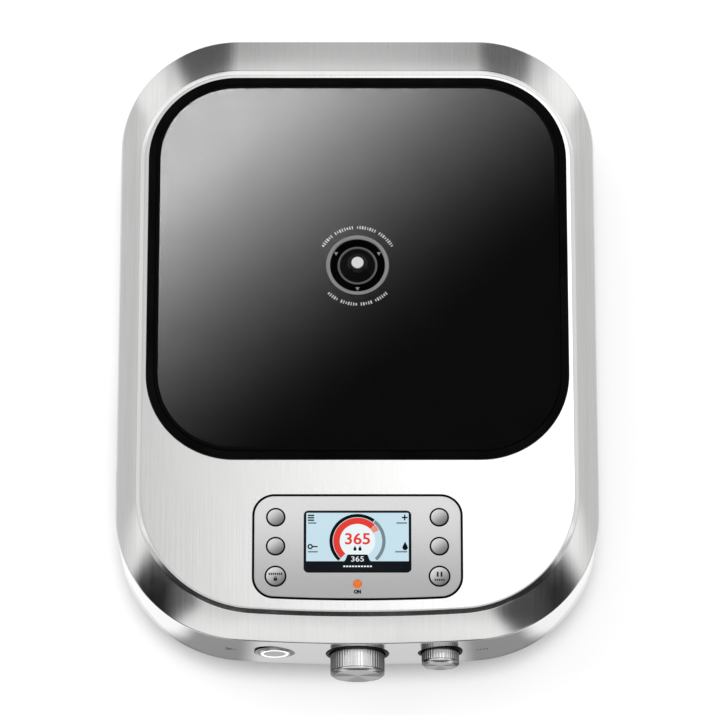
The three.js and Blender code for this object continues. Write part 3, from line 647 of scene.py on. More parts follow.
def grain_group() -> bpy.types.NodeTree:
    """Returns the group that draws fine lines one way: Tone and Height from Vector, Stretch and Spread."""
    made = shared_group("fine_grain", (("Vector", "NodeSocketVector"), ("Stretch", "NodeSocketVector"),
                                       ("Spread", "NodeSocketFloat")), ("Tone", "Height"))
    if made:
        graph, start, end = made
        stretched = graph.node("VectorMath", {"operation": "MULTIPLY"}, i0=start.outputs[0],
                               i1=start.outputs[1]).outputs[0]
        coarse = graph.node("TexNoise", None, Vector=stretched, Scale=1.0, Detail=3.0,
                            Roughness=0.62).outputs[0]
        finer = graph.scaled(stretched, (3.1, 3.1, 3.1))
        fine = graph.node("TexNoise", None, Vector=finer, Scale=1.0, Detail=2.0, Roughness=0.7).outputs[0]
        both = graph.maths("ADD", graph.maths("MULTIPLY", coarse, 0.6), graph.maths("MULTIPLY", fine, 0.4))
        centred = graph.maths("MULTIPLY", graph.maths("SUBTRACT", both, 0.5), start.outputs[2])
        graph.put(graph.maths("ADD", centred, 0.5), end.inputs[0])
        graph.put(both, end.inputs[1])
    return bpy.data.node_groups["fine_grain"]


def cloud_group() -> bpy.types.NodeTree:
    """Returns the group that draws soft patches and marks: Mask from Vector, Scale and Cover."""
    made = shared_group("soft_patches", (("Vector", "NodeSocketVector"), ("Scale", "NodeSocketFloat"),
                                         ("Cover", "NodeSocketFloat")), ("Mask",))
    if made:
        graph, start, end = made
        cloud = graph.node("TexNoise", None, Vector=start.outputs[0], Scale=start.outputs[1], Detail=4.0,
                           Roughness=0.55)
        graph.put(graph.maths("MULTIPLY", graph.ramp(cloud.outputs[0], 0.35, 0.7), start.outputs[2]),
                  end.inputs[0])
    return bpy.data.node_groups["soft_patches"]


def speck_group() -> bpy.types.NodeTree:
    """Returns the group that draws a moulded or sprayed texture: Mask and Height from Vector and Scale."""
    made = shared_group("fine_texture", (("Vector", "NodeSocketVector"), ("Scale", "NodeSocketFloat")),
                        ("Mask", "Height"))
    if made:
        graph, start, end = made
        cells = graph.node("TexVoronoi", {"feature": "SMOOTH_F1"}, Vector=start.outputs[0],
                           Scale=start.outputs[1])
        noise = graph.node("TexNoise", None, Vector=start.outputs[0], Scale=start.outputs[1], Detail=3.0)
        graph.put(noise.outputs[0], end.inputs[0])
        graph.put(graph.maths("ADD", cells.outputs[0], noise.outputs[0]), end.inputs[1])
    return bpy.data.node_groups["fine_texture"]


class Direction(Enum):
    """The way in which a metal was brushed."""

    BACKWARDS = "along Y on top and level on the walls"
    ROUND_FRONT = "in circles about the dials' axis"
    ROUND_UP = "in circles about Z"


@dataclass(frozen=True)
class Finish:
    """What every finish has: a name, a colour, a roughness and how metallic it is."""

    name: str
    colour: Colour
    roughness: float = 0.5
    metallic: float = 0.0
    specular: float = 0.5

    def material(self) -> bpy.types.Material:
        """Returns the material, which is made once."""
        if self.name in bpy.data.materials:
            return bpy.data.materials[self.name]
        made = bpy.data.materials.new(self.name)
        made.use_nodes = True
        graph = Graph(made.node_tree)
        shader = made.node_tree.nodes["Principled BSDF"]
        graph.put(self.colour, shader.inputs["Base Color"])
        shader.inputs["Roughness"].default_value = self.roughness
        shader.inputs["Metallic"].default_value = self.metallic
        shader.inputs["Specular IOR Level"].default_value = self.specular
        place = graph.node("TexCoord").outputs["Object"]
        self.detail(graph, shader, place)
        return made

    def detail(self, graph: Graph, shader: bpy.types.Node, place: bpy.types.NodeSocket) -> None:
        """Adds what varies over the surface.

        Args:
            graph: the material's graph.
            shader: its Principled shader.
            place: coordinates on the object, in metres.
        """

    def raise_surface(self, graph: Graph, shader: bpy.types.Node, height: Any, depth: float,
                      strength: float = 1.0) -> None:
        """Feeds a height, in millimetres of depth, to the shader's normal."""
        bump = graph.node("Bump", None, Height=height, Strength=strength, Distance=depth * MM)
        graph.put(bump.outputs[0], shader.inputs["Normal"])


@dataclass(frozen=True)
class Brushed(Finish):
    """Brushed, spun or drawn metal with lines in one direction."""

    direction: Direction = Direction.BACKWARDS
    lines: float = 900.0
    contrast: float = 0.5
    stretch: float = 0.0
    relief: float = 0.004
    axis: tuple[float, float, float] = (0.0, 0.0, 0.0)

    def detail(self, graph: Graph, shader: bpy.types.Node, place: bpy.types.NodeSocket) -> None:
        """Lays the brushed lines and uneven handling marks."""
        shader.inputs["Anisotropic"].default_value = self.stretch
        grain = grain_group()
        if self.direction is Direction.BACKWARDS:
            normal = graph.node("SeparateXYZ", None,
                                Vector=graph.node("NewGeometry").outputs["Normal"]).outputs["Z"]
            top = graph.ramp(normal, 0.08, 0.4)
            over = graph.group(grain, Vector=place, Stretch=(self.lines, 9.0, 9.0), Spread=1.0)
            level = graph.group(grain, Vector=place, Stretch=(9.0, 9.0, self.lines), Spread=1.0)
            height = graph.maths("ADD", graph.maths("MULTIPLY", over.outputs[1], top),
                                 graph.maths("MULTIPLY", level.outputs[1], graph.maths("SUBTRACT", 1.0, top)))
            if self.stretch:
                tangents = [
                    graph.node("Tangent", {"direction_type": "RADIAL", "axis": axis}).outputs[0]
                    for axis in "ZX"
                ]
                graph.put(graph.mix(top, *tangents), shader.inputs["Tangent"])
        else:
            about_y = self.direction is Direction.ROUND_FRONT
            centred = graph.node("VectorMath", {"operation": "SUBTRACT"}, i0=place, i1=self.axis).outputs[0]
            flat = graph.scaled(centred, (1.0, 0.0, 1.0) if about_y else (1.0, 1.0, 0.0))
            radius = graph.node("VectorMath", {"operation": "LENGTH"}, i0=flat).outputs["Value"]
            parts = graph.node("SeparateXYZ", None, Vector=centred)
            along = parts.outputs["Y" if about_y else "Z"]
            lines = graph.node("CombineXYZ", None, X=radius, Y=along, Z=0.0).outputs[0]
            height = graph.group(grain, Vector=lines, Stretch=(self.lines, self.lines, 0.0),
                                 Spread=1.0).outputs[1]
            if self.stretch:
                tangent = graph.node("Tangent", {"direction_type": "RADIAL", "axis": "Y" if about_y else "Z"})
                graph.put(tangent.outputs[0], shader.inputs["Tangent"])
        tone = graph.ramp(height, 0.5 - self.contrast / 2, 0.5 + self.contrast / 2)
        dark: Colour = tuple(c * 0.86 for c in self.colour)
        light: Colour = tuple(min(1.0, c * 1.08) for c in self.colour)
        graph.put(graph.mix(tone, dark, light), shader.inputs["Base Color"])
        marks = graph.group(cloud_group(), Vector=place, Scale=14.0, Cover=0.05).outputs[0]
        rough = graph.ramp(height, 0.3, 0.7, self.roughness * 0.9, self.roughness * 1.12)
        graph.put(graph.maths("ADD", rough, marks), shader.inputs["Roughness"])
        self.raise_surface(graph, shader, height, self.relief)


@dataclass(frozen=True)
class PaintedFanSpunDial(Finish):
    """Spun metal whose bright and dark fans, as a turned face and barrel show them about their axis, are
    painted light and shade in its colour.
    """

    lines: float = 2400.0
    axis: tuple[float, float, float] = (0.0, 0.0, 0.0)

    def detail(self, graph: Graph, shader: bpy.types.Node, place: bpy.types.NodeSocket) -> None:
        """Lays the turned lines and paints the fans of light and shade into the colour."""
        centred = graph.node("VectorMath", {"operation": "SUBTRACT"}, i0=place, i1=self.axis).outputs[0]
        flat = graph.scaled(centred, (1.0, 0.0, 1.0))
        radius = graph.node("VectorMath", {"operation": "LENGTH"}, i0=flat).outputs["Value"]
        outward = graph.node("VectorMath", {"operation": "NORMALIZE"}, i0=flat).outputs[0]
        side = graph.node("SeparateXYZ", None, Vector=outward)
        normal = graph.node("SeparateXYZ", None, Vector=graph.node("NewGeometry").outputs["Normal"])
        about = graph.maths("MULTIPLY", graph.maths("ABSOLUTE", side.outputs["X"]), 0.7)
        across = graph.maths("ADD", about,
                             graph.maths("MULTIPLY", graph.maths("ABSOLUTE", normal.outputs["X"]), 0.3))
        face = graph.ramp(graph.maths("ABSOLUTE", normal.outputs["Y"]), 0.75, 0.95)
        # Painted reflection: the barrel is bright in its middle and dark towards its left and right sides.
        barrel = graph.ramp(across, 0.42, 0.72, 1.0, 0.12)
        # Painted shade on the face: a dark fan round the line a little above the axis, darker still towards
        # the bottom.
        fan = graph.maths("ABSOLUTE", graph.maths("SUBTRACT", side.outputs["Z"], 0.22))
        painted_dark_fan = graph.ramp(fan, 0.1, 0.55, 0.0, 0.42)
        foot = graph.ramp(side.outputs["Z"], -0.98, -0.75, 0.55, 1.0)
        # spun is the face's painted shade, made from the dark fan and the darker bottom, not from the spun
        # grain.
        spun = graph.maths("MULTIPLY", painted_dark_fan, foot)
        shade = graph.maths("ADD", graph.maths("MULTIPLY", face, spun),
                            graph.maths("MULTIPLY", graph.maths("SUBTRACT", 1.0, face), barrel))
        lines = graph.node("CombineXYZ", None, X=radius, Y=side.outputs["X"], Z=0.0).outputs[0]
        grain = graph.group(grain_group(), Vector=lines, Stretch=(self.lines, 2.0, 0.0), Spread=1.0)
        # The painted light and shade go into the colour, so they turn with the dial.
        tone = graph.maths("MULTIPLY", shade, graph.ramp(grain.outputs[0], 0.3, 0.7, 0.82, 1.0))
        dark: Colour = tuple(c * 0.08 for c in self.colour)
        graph.put(graph.mix(tone, dark, self.colour), shader.inputs["Base Color"])
        graph.put(graph.ramp(grain.outputs[1], 0.3, 0.7, self.roughness * 0.8, self.roughness * 1.2),
                  shader.inputs["Roughness"])
        self.raise_surface(graph, shader, grain.outputs[1], 0.002)


@dataclass(frozen=True)
class Moulded(Finish):
    """Moulded plastic or rubber with a fine sparked texture."""

    grain: float = 1400.0
    relief: float = 0.02

    def detail(self, graph: Graph, shader: bpy.types.Node, place: bpy.types.NodeSocket) -> None:
        """Adds the sparked texture and a little unevenness of tone."""
        texture = graph.group(speck_group(), Vector=place, Scale=self.grain)
        marks = graph.group(cloud_group(), Vector=place, Scale=30.0, Cover=0.35).outputs[0]
        light: Colour = tuple(c * 1.35 + 0.006 for c in self.colour)
        graph.put(graph.mix(marks, self.colour, light), shader.inputs["Base Color"])
        rough = graph.ramp(texture.outputs[0], 0.3, 0.7, self.roughness * 0.88,
                           min(1.0, self.roughness * 1.12))
        graph.put(rough, shader.inputs["Roughness"])
        self.raise_surface(graph, shader, texture.outputs[1], self.relief, 0.5)


@dataclass(frozen=True)
class GlossGlass(Finish):
    """Black glass-ceramic: nearly perfect gloss with the faintest waviness."""

    def detail(self, graph: Graph, shader: bpy.types.Node, place: bpy.types.NodeSocket) -> None:
        """Adds faint wiping marks in the gloss."""
        marks = graph.group(cloud_group(), Vector=place, Scale=9.0, Cover=0.03).outputs[0]
        graph.put(graph.maths("ADD", marks, self.roughness), shader.inputs["Roughness"])
        fleck = graph.group(speck_group(), Vector=place, Scale=2600.0).outputs[0]
        light: Colour = tuple(c * 1.6 + 0.002 for c in self.colour)
        graph.put(graph.mix(graph.ramp(fleck, 0.55, 0.75), self.colour, light), shader.inputs["Base Color"])


@dataclass(frozen=True)
class Graded(Finish):
    """Satin coating or print whose colour changes along Y, or along a direction that leans to the left; on
    the panel and the keys this grade is painted sheen.
    """

    other: Colour = (1.0, 1.0, 1.0)
    start: float = 0.0
    end: float = 1.0
    grain: float = 1800.0
    lean: float = 0.0

    def detail(self, graph: Graph, shader: bpy.types.Node, place: bpy.types.NodeSocket) -> None:
        """Grades the colour and adds the coating's fine texture."""
        parts = graph.node("SeparateXYZ", None, Vector=place)
        along = graph.maths("SUBTRACT", parts.outputs["Y"],
                            graph.maths("MULTIPLY", parts.outputs["X"], self.lean))
        # On the panel and the keys this grade is painted sheen, lighter towards the back or the back left.
        share = graph.ramp(along, self.start * MM, self.end * MM)
        texture = graph.group(speck_group(), Vector=place, Scale=self.grain)
        graded = graph.mix(share, self.colour, self.other)
        tone = graph.ramp(texture.outputs[0], 0.3, 0.7, 0.0, 0.08)
        graph.put(graph.mix(tone, graded, (0.25, 0.25, 0.25)), shader.inputs["Base Color"])
        rough = graph.ramp(texture.outputs[0], 0.3, 0.7, self.roughness * 0.9, self.roughness * 1.1)
        graph.put(rough, shader.inputs["Roughness"])
        self.raise_surface(graph, shader, texture.outputs[1], 0.004, 0.4)


@dataclass(frozen=True)
class Glowing(Finish):
    """A lit surface behind clear gloss, such as a screen's picture or a lamp."""

    strength: float = 1.0
    fade: float = 0.12
    scale: float = 40.0

    def detail(self, graph: Graph, shader: bpy.types.Node, place: bpy.types.NodeSocket) -> None:
        """Makes the light slightly uneven."""
        uneven = graph.group(cloud_group(), Vector=place, Scale=self.scale, Cover=self.fade).outputs[0]
        dim: Colour = tuple(c * 0.8 for c in self.colour)
        lit = graph.mix(uneven, self.colour, dim)
        graph.put(lit, shader.inputs["Emission Color"])
        shader.inputs["Emission Strength"].default_value = self.strength
        graph.put(graph.mix(0.9, lit, (0.0, 0.0, 0.0)), shader.inputs["Base Color"])


@dataclass(frozen=True)
class Wound(Finish):
    """Enamelled wire laid in twisted strands."""

    pitch: float = 260.0

    def detail(self, graph: Graph, shader: bpy.types.Node, place: bpy.types.NodeSocket) -> None:
        """Draws the twist of the strands as slanted bands."""
        twist = graph.node("TexWave", {"bands_direction": "DIAGONAL"}, Vector=place, Scale=self.pitch,
                           Distortion=2.0, Detail=2.0)
        dark: Colour = tuple(c * 0.45 for c in self.colour)
        graph.put(graph.mix(twist.outputs[1], dark, self.colour), shader.inputs["Base Color"])
        graph.put(graph.ramp(twist.outputs[1], 0.0, 1.0, self.roughness + 0.15, self.roughness),
                  shader.inputs["Roughness"])
        self.raise_surface(graph, shader, twist.outputs[1], 0.25, 0.6)


@dataclass(frozen=True)
class Circuit(Finish):
    """Solder mask over copper tracks, with bare pads."""

    tracks: float = 160.0

    def detail(self, graph: Graph, shader: bpy.types.Node, place: bpy.types.NodeSocket) -> None:
        """Draws tracks under the mask and tinned pads on it."""
        cells = graph.node("TexVoronoi", {"distance": "MANHATTAN", "feature": "F2"}, Vector=place,
                           Scale=self.tracks).outputs[0]
        line = graph.ramp(cells, 0.55, 0.62)
        light: Colour = (self.colour[0] * 1.5, self.colour[1] * 1.35, self.colour[2] * 1.5)
        masked = graph.mix(line, self.colour, light)
        dots = graph.node("TexVoronoi", None, Vector=place, Scale=self.tracks * 1.4).outputs[0]
        pad = graph.ramp(dots, 0.14, 0.17, 1.0, 0.0)
        graph.put(graph.mix(pad, masked, (0.75, 0.74, 0.7)), shader.inputs["Base Color"])
        graph.put(graph.maths("MULTIPLY", pad, 0.9), shader.inputs["Metallic"])
        self.raise_surface(graph, shader, line, 0.03, 0.5)


STEEL = Brushed("brushed_steel_body", (0.76, 0.76, 0.755), 0.15, 1.0, lines=1200.0, contrast=1.0,
                stretch=0.6, relief=0.006)
RING_STEEL = Brushed("satin_ring_steel", (0.35, 0.35, 0.35), 0.4, 1.0, direction=Direction.ROUND_UP,
                     lines=2200.0, axis=(0.0, GLASS_Y * MM, 0.1))
DARK_RING = Brushed("dark_ring_steel", (0.17, 0.17, 0.17), 0.4, 1.0, direction=Direction.ROUND_UP,
                    lines=2200.0, axis=(0.0, GLASS_Y * MM, 0.1))
TIP_STEEL = Brushed("polished_tip_steel", (1.0, 1.0, 1.0), 0.5, 1.0, direction=Direction.ROUND_UP,
                    lines=300.0, contrast=1.6, relief=0.0005, axis=(0.0, GLASS_Y * MM, 0.1))
SPRING_STEEL = Brushed("drawn_spring_steel", (0.62, 0.62, 0.63), 0.25, 1.0, direction=Direction.ROUND_UP,
                       lines=600.0)
ZINC = Brushed("zinc_plate", (0.55, 0.57, 0.58), 0.42, 1.0, direction=Direction.ROUND_UP, lines=300.0,
               contrast=0.9)
ALUMINIUM = Brushed("extruded_aluminium", (0.66, 0.67, 0.68), 0.38, 1.0, lines=700.0)
BUTTON_STEEL = Brushed("spun_button_steel", (0.5, 0.5, 0.5), 0.3, 1.0, direction=Direction.ROUND_FRONT,
                       lines=2600.0, axis=(-0.0595, -0.23, 0.061))
GLASS = GlossGlass("black_glass_ceramic", (0.002, 0.002, 0.0024), 0.03, 0.0, 0.03)
SILICONE = Moulded("black_silicone", (0.0015, 0.0015, 0.002), 0.5, 0.0, 0.03, grain=2600.0, relief=0.008)
GLOSS_BLACK = Moulded("gloss_black_plastic", (0.006, 0.006, 0.007), 0.16, 0.0, 0.14, grain=900.0,
                      relief=0.002)
FOLD_RUBBER = Moulded("folded_silicone", (0.004, 0.004, 0.0045), 0.3, 0.0, 0.16, grain=2600.0, relief=0.004)
COLLAR_BLACK = Moulded("black_collar", (0.002, 0.002, 0.002), 0.3, 0.0, 0.04, grain=900.0, relief=0.002)
LENS = Moulded("smoked_lens", (0.007, 0.009, 0.012), 0.2, 0.0, 0.03, grain=900.0, relief=0.001)
PLASTIC = Moulded("black_moulded_plastic", (0.022, 0.022, 0.024), 0.5, 0.0, 0.3)
RUBBER = Moulded("black_rubber", (0.028, 0.028, 0.028), 0.75, 0.0, 0.3, grain=2200.0, relief=0.03)
MICA = Moulded("mica_board", (0.55, 0.5, 0.4), 0.7, grain=500.0, relief=0.05)
FERRITE = Moulded("fired_ferrite", (0.035, 0.036, 0.04), 0.55, grain=1600.0, relief=0.03)
# Painted sheen: the panel's colour grades from darker at the front to lighter at the back.
PANEL = Graded("satin_silver_panel", (0.56, 0.56, 0.56), 0.4, 0.5, other=(0.97, 0.97, 0.97),
               start=BODY_Y - 203.0, end=BODY_Y - 128.0)
PRINT_BLACK = Graded("black_print", (0.008, 0.008, 0.008), 0.5, 0.0, 0.1, other=(0.012, 0.012, 0.012),
                     start=BODY_Y - 203.0, end=BODY_Y - 128.0)
PRINT_WHITE = Graded("white_print", (0.62, 0.62, 0.62), 0.5, 0.0, 0.2, other=(0.7, 0.7, 0.7), start=0.0,
                     end=90.0)
COPPER = Wound("enamelled_copper", (0.56, 0.24, 0.1), 0.3, 1.0)
BOARD = Circuit("circuit_board", (0.012, 0.1, 0.04), 0.35)
SCREEN_BLUE = Glowing("screen_pale_blue", (0.62, 0.82, 0.91), 0.3, 0.0, 0.1, strength=0.85)
SCREEN_WHITE = Glowing("screen_white", (0.86, 0.94, 0.97), 0.3, 0.0, 0.1, strength=0.9)
SCREEN_RED = Glowing("screen_red", (0.84, 0.05, 0.032), 0.3, 0.0, 0.1, strength=0.85)
SCREEN_PINK = Glowing("screen_pale_red", (0.88, 0.31, 0.22), 0.3, 0.0, 0.1, strength=0.85)
SCREEN_GREY = Glowing("screen_grey", (0.2, 0.26, 0.29), 0.3, 0.0, 0.1, strength=0.85)
SCREEN_INK = Glowing("screen_black", (0.006, 0.008, 0.012), 0.3, 0.0, 0.05, strength=0.4)
AMBER = Glowing("amber_lamp", (0.95, 0.2, 0.015), 0.12, 0.0, 0.5, strength=0.8, fade=0.5, scale=420.0)
RING_LIGHT = Glowing("white_ring_light", (1.0, 1.0, 1.0), 0.2, strength=1.3)


# ---- Sub-assemblies ----
@dataclass
class SubAssembly:
    """A group of pieces that are built and dressed together."""

    made: list[str] = field(default_factory=list, init=False)

    def show(self, name: str, mesh: bpy.types.Mesh, finish: Finish, body: str, slot: str,
             replaces: Sequence[str] = (), sharp: float = 32.0) -> bpy.types.Object:
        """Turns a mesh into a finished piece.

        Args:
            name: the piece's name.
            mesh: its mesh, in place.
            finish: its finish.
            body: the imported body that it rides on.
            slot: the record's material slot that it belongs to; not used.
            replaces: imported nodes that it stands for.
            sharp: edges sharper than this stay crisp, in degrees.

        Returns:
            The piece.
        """
        mesh.materials.clear()
        mesh.materials.append(finish.material())
        mesh.name = name
        mesh.shade_smooth()
        mesh.set_sharp_from_angle(angle=math.radians(sharp))
        obj = bpy.data.objects.new(name, mesh)
        bpy.context.scene.collection.objects.link(obj)
        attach(obj, body)
        if replaces:
            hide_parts(*replaces)
        self.made.append(name)
        return obj

    def dress(self, finish: Finish, *nodes: str) -> None:
        """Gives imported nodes, whose shape stays, their finish."""
        for node in nodes:
            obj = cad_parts[node]
            for packed_slot in obj.material_slots:
                packed_slot.link = "OBJECT"
                packed_slot.material = finish.material()
            self.made.append(node)

    def build(self) -> None:
        """Builds and dresses every piece."""
        raise NotImplementedError


@dataclass
class Housing(SubAssembly):
    """The brushed steel body and what is fixed to its walls."""

    shoulder: Rim = Rim(174.0, BODY_Y - 231.0, BODY_Y + 231.0, 94.0, 86.5)
    deck: Rim = Rim(156.6, BODY_Y - 211.2, BODY_Y + 198.4, 86.5, 68.5)
    sheet: float = 1.5
    lip: float = 9.0
    control_height: float = 61.0
    control_holes: tuple[Point, ...] = ((0, 22.9), (59.5, 16.2), (-59.5, 14.5))
    side_y: float = -105.0
    jack_hole: float = 5.3
    screw_hole: float = 1.7
    gland_x: float = 72.0
    gland_height: float = 52.0
    gland_hole: float = 9.3
    slots: int = 12
    slot: tuple[float, float, float] = (3.4, 12, 26)
    first_slot: float = -74.0
    slot_pitch: float = 9.0

    def profile(self) -> list[tuple[float, float, float]]:
        """Lists the outer skin from the wall's lower edge: share of the bevel, inset and height."""
        low, high = span("housing")
        foot, top = low.z, high.z
        wall = [(0.0, 0.45, foot), (0.0, 0.1, foot + 0.15), (0.0, 0.0, foot + 0.6), (0.0, 0.0, 60.0),
                (0.0, 0.0, 88.1), (0.0, 0.0, 88.5), (0.004, 0.0, 88.85), (0.018, 0.0, 89.2),
                (0.038, 0.0, 89.55), (0.06, 0.0, 89.9)]
        slope = [(0.3, 0.0, 93.55), (0.5, 0.0, 96.45), (0.7, 0.0, 99.2), (0.84, 0.0, 100.95)]
        riser = [(0.86, 0.0, 101.2), (0.875, 0.0, 101.5), (0.98, 0.0, 103.95), (0.99, 0.0, 104.2),
                 (1.0, 0.0, 104.4)]
        edge = [(1.0, 0.2, top - 0.2), (1.0, 0.5, top - 0.07), (1.0, 0.9, top - 0.01), (1.0, 1.3, top),
                (1.0, 2.4, top)]
        return wall + slope + riser + edge

    def hole(self, x: float, radius: float, depth: float = 14.0) -> bpy.types.Mesh:
        """Returns a cutter for a round hole in the front wall."""
        wall = self.shoulder.front + self.shoulder.bow - math.sqrt(self.shoulder.bow**2 - x**2)
        place = at(x, wall, self.control_height) @ tipped("X")
        return moved(rod(radius, -depth, depth), place)

    def shell(self) -> bpy.types.Mesh:
        """Returns the pressed shell with its windows, holes and air slots."""
        rims = [(self.shoulder.blend(self.deck, share), inset, z) for share, inset, z in self.profile()]
        outer = loft([(rim.plan(inset), z) for rim, inset, z in rims])
        low = span("housing")[0].z
        inner = loft([(rim.plan(inset + self.sheet), max(z - self.sheet, low + self.sheet))
                      for rim, inset, z in rims[2:]])
        lip = slab(self.shoulder.plan(self.lip), low - 1, low + self.sheet + 0.5)
        shell = carved(carved(outer, inner), lip)
        glass_low, glass_high = span("glass_top")
        middle = (glass_low + glass_high) / 2
        half = (glass_high - glass_low) / 2
        window = slab(rounded_plan((middle.x, middle.y), half.x + 3, half.y + 3, 61.2, 24), 95, 110)
        panel = slab(ControlPanel().plan(1.6), 95, 110)
        back = self.shoulder.back
        slots = [block((self.first_slot + i * self.slot_pitch, back, 58), self.slot)
                 for i in range(self.slots)]
        slots = [softened(s, 1.6, 4) for s in slots]
        gland = moved(rod(self.gland_hole, -8, 8), at(self.gland_x, back, self.gland_height) @ tipped("X"))
        side_y = self.side_y + BODY_Y
        port = block((-self.shoulder.half_width, side_y, self.control_height), (12, 15.3, 8.2))
        jack_place = at(self.shoulder.half_width, side_y, self.control_height) @ tipped("Y")
        jack = moved(rod(self.jack_hole, -8, 8), jack_place)
        holes = [self.hole(x, radius) for x, radius in self.control_holes]
        bores: list[bpy.types.Mesh] = []
        for node in SCREW_NODES:
            middle = middle_of(node)
            bores.append(moved(rod(self.screw_hole, low - 1, low + 3, 24), at(middle.x, middle.y)))
        return carved(shell, window, panel, gland, port, jack, *slots, *holes, *bores)

    def build(self) -> None:
        """Builds the shell and its small fittings."""
        self.show("steel_body", self.shell(), STEEL, ROOT, "brushed_steel", ["housing"], sharp=38.0)
        self.marks()
        self.gland()
        self.ports()

    def marks(self) -> None:
        """Prints a short dash and a row of dots beside the controls, in place of words."""
        bars: list[bpy.types.Mesh] = []
        for x, width in ((-92.0, 6.0), (-88.0, 0.8), (86.0, 0.9), (88.4, 0.9), (90.8, 0.9), (93.2, 0.9)):
            bow = self.shoulder
            wall = bow.front + bow.bow - math.sqrt(bow.bow**2 - x**2)
            bars.append(block((x, wall - 0.02, self.control_height + 1), (width, 0.16, 0.9)))
        self.show("wall_marks", joined(bars), PRINT_BLACK, ROOT, "black_plastic")

    def gland(self) -> None:
        """Builds the cord gland, its ribs and its nut."""
        place = at(self.gland_x, self.shoulder.back, self.gland_height) @ tipped("X", -1)
        nose = span("cord_gland")[1].y - self.shoulder.back
        profile = [(4.8, -18), (9, -18), (9, 0.3), (12.4, 0.3), (13, 0.9), (13, 1.7), (12.6, 2.3),
                   (11.0, 2.6)]
        ribs = [(10.3 - 0.2 * i - (0.5 if i % 2 else 0.0), 2.8 + i * 0.4) for i in range(5)]
        tail = [(9.0, nose - 0.6), (8.6, nose), (5.6, nose), (4.8, nose - 0.8)]
        self.show("ribbed_gland", moved(turned(profile + ribs + tail), place), PLASTIC, ROOT,
                  "black_plastic", ["cord_gland"])
        self.dress(PLASTIC, "gland_nut")

    def ports(self) -> None:
        """Builds the service port's flap and dresses the ports."""
        low, high = span("port_cover")
        middle = (low + high) / 2
        outline = rounded_plan((middle.y, middle.z), (high.y - low.y) / 2, (high.z - low.z) / 2, 2.5, 6)
        inner = [(middle.y + (y - middle.y) * 0.94, middle.z + (z - middle.z) * 0.92) for y, z in outline]
        thick = high.x - low.x
        flap = loft([(outline, 0.0), (outline, thick * 0.6), (inner, thick)])
        turn = Matrix(((0, 0, -1, high.x * MM), (1, 0, 0, 0), (0, 1, 0, 0), (0, 0, 0, 1)))
        grip = softened(block((low.x + 0.25, low.y + 3.2, middle.z), (0.5, 1.1, 8.0)), 0.2)
        self.show("port_flap", joined([moved(flap, turn), grip]), RUBBER, "port_cover", "rubber",
                  ["port_cover"])
        self.dress(ZINC, "service_port")
        self.dress(BUTTON_STEEL, "probe_jack")


@dataclass
class Plate(SubAssembly):
    """The glass plate with its silicone seal and the marks printed round the sensor."""

    corner: float = 58.2
    band: float = 6.1
    bore: float = 22.0

    def build(self) -> None:
        """Builds the glass, the seal and the print."""
        low, high = span("glass_top")
        middle, half = (low + high) / 2, (high - low) / 2

        def rim(grow: float) -> list[Point]:
            """Outlines the glass, grown by a distance."""
            return rounded_plan((middle.x, middle.y), half.x + grow, half.y + grow, self.corner + grow, 26)

        glass = loft([(rim(-0.4), low.z), (rim(0), low.z + 0.4), (rim(0), high.z - 0.5),
                      (rim(-0.08), high.z - 0.2),
                      (rim(-0.25), high.z - 0.05), (rim(-0.5), high.z), (rim(-3), high.z)])
        hole = moved(rod(self.bore, low.z - 1, high.z + 1), at(middle.x, middle.y))
        self.show("glass_plate", carved(glass, hole), GLASS, ROOT, "black_glass", ["glass_top"])
        seal_low, seal_high = span("glass_seal")
        lip, top = 105.3, seal_high.z
        seal = loft([(rim(self.band - 0.3), lip), (rim(self.band), lip + 0.3), (rim(self.band), top - 1.0),
                     (rim(self.band - 0.35), top - 0.3), (rim(self.band - 1.0), top), (rim(0.6), top),
                     (rim(0.3), top - 0.3), (rim(0.3), lip)])
        core = slab(rim(0.3), lip - 1, top + 1)
        ledge = carved(slab(rim(2.7), seal_low.z, lip + 0.1), slab(rim(-6), seal_low.z - 1, lip + 1),)
        pocket = slab(rim(0.3), seal_low.z + 2.0, lip + 1)
        self.show("silicone_seal", joined([carved(seal, core), carved(ledge, pocket)]), SILICONE, ROOT,
                  "silicone", ["glass_seal"])
        self.print_marks(middle, high.z)

    def print_marks(self, middle: Vector, top: float) -> None:
        """Prints two arcs of fine dashes round the sensor, in place of words.

        Args:
            middle: the sensor's axis.
            top: height of the glass.
        """
        dashes: list[bpy.types.Mesh] = []
        for start, end, count, radius, gaps in ((149.0, 31.0, 33, 29.2, (6, 15, 24)),
                                                (-134.0, -46.0, 26, 29.9, (5, 13, 19))):
            for i in range(count):
                if i in gaps:
                    continue
                angle = math.radians(start + (end - start) * i / (count - 1))
                dash = block((0, 0, 0), (0.8 if i % 3 else 1.15, 2.4 if i % 4 else 1.7, 0.06))
                place = at(middle.x + radius * math.cos(angle), middle.y + radius * math.sin(angle),
                           top + 0.03)
                dashes.append(moved(dash, place @ Matrix.Rotation(angle - QUARTER, 4, "Z")))
        self.show("plate_print", joined(dashes), PRINT_WHITE, ROOT, "panel_silver")


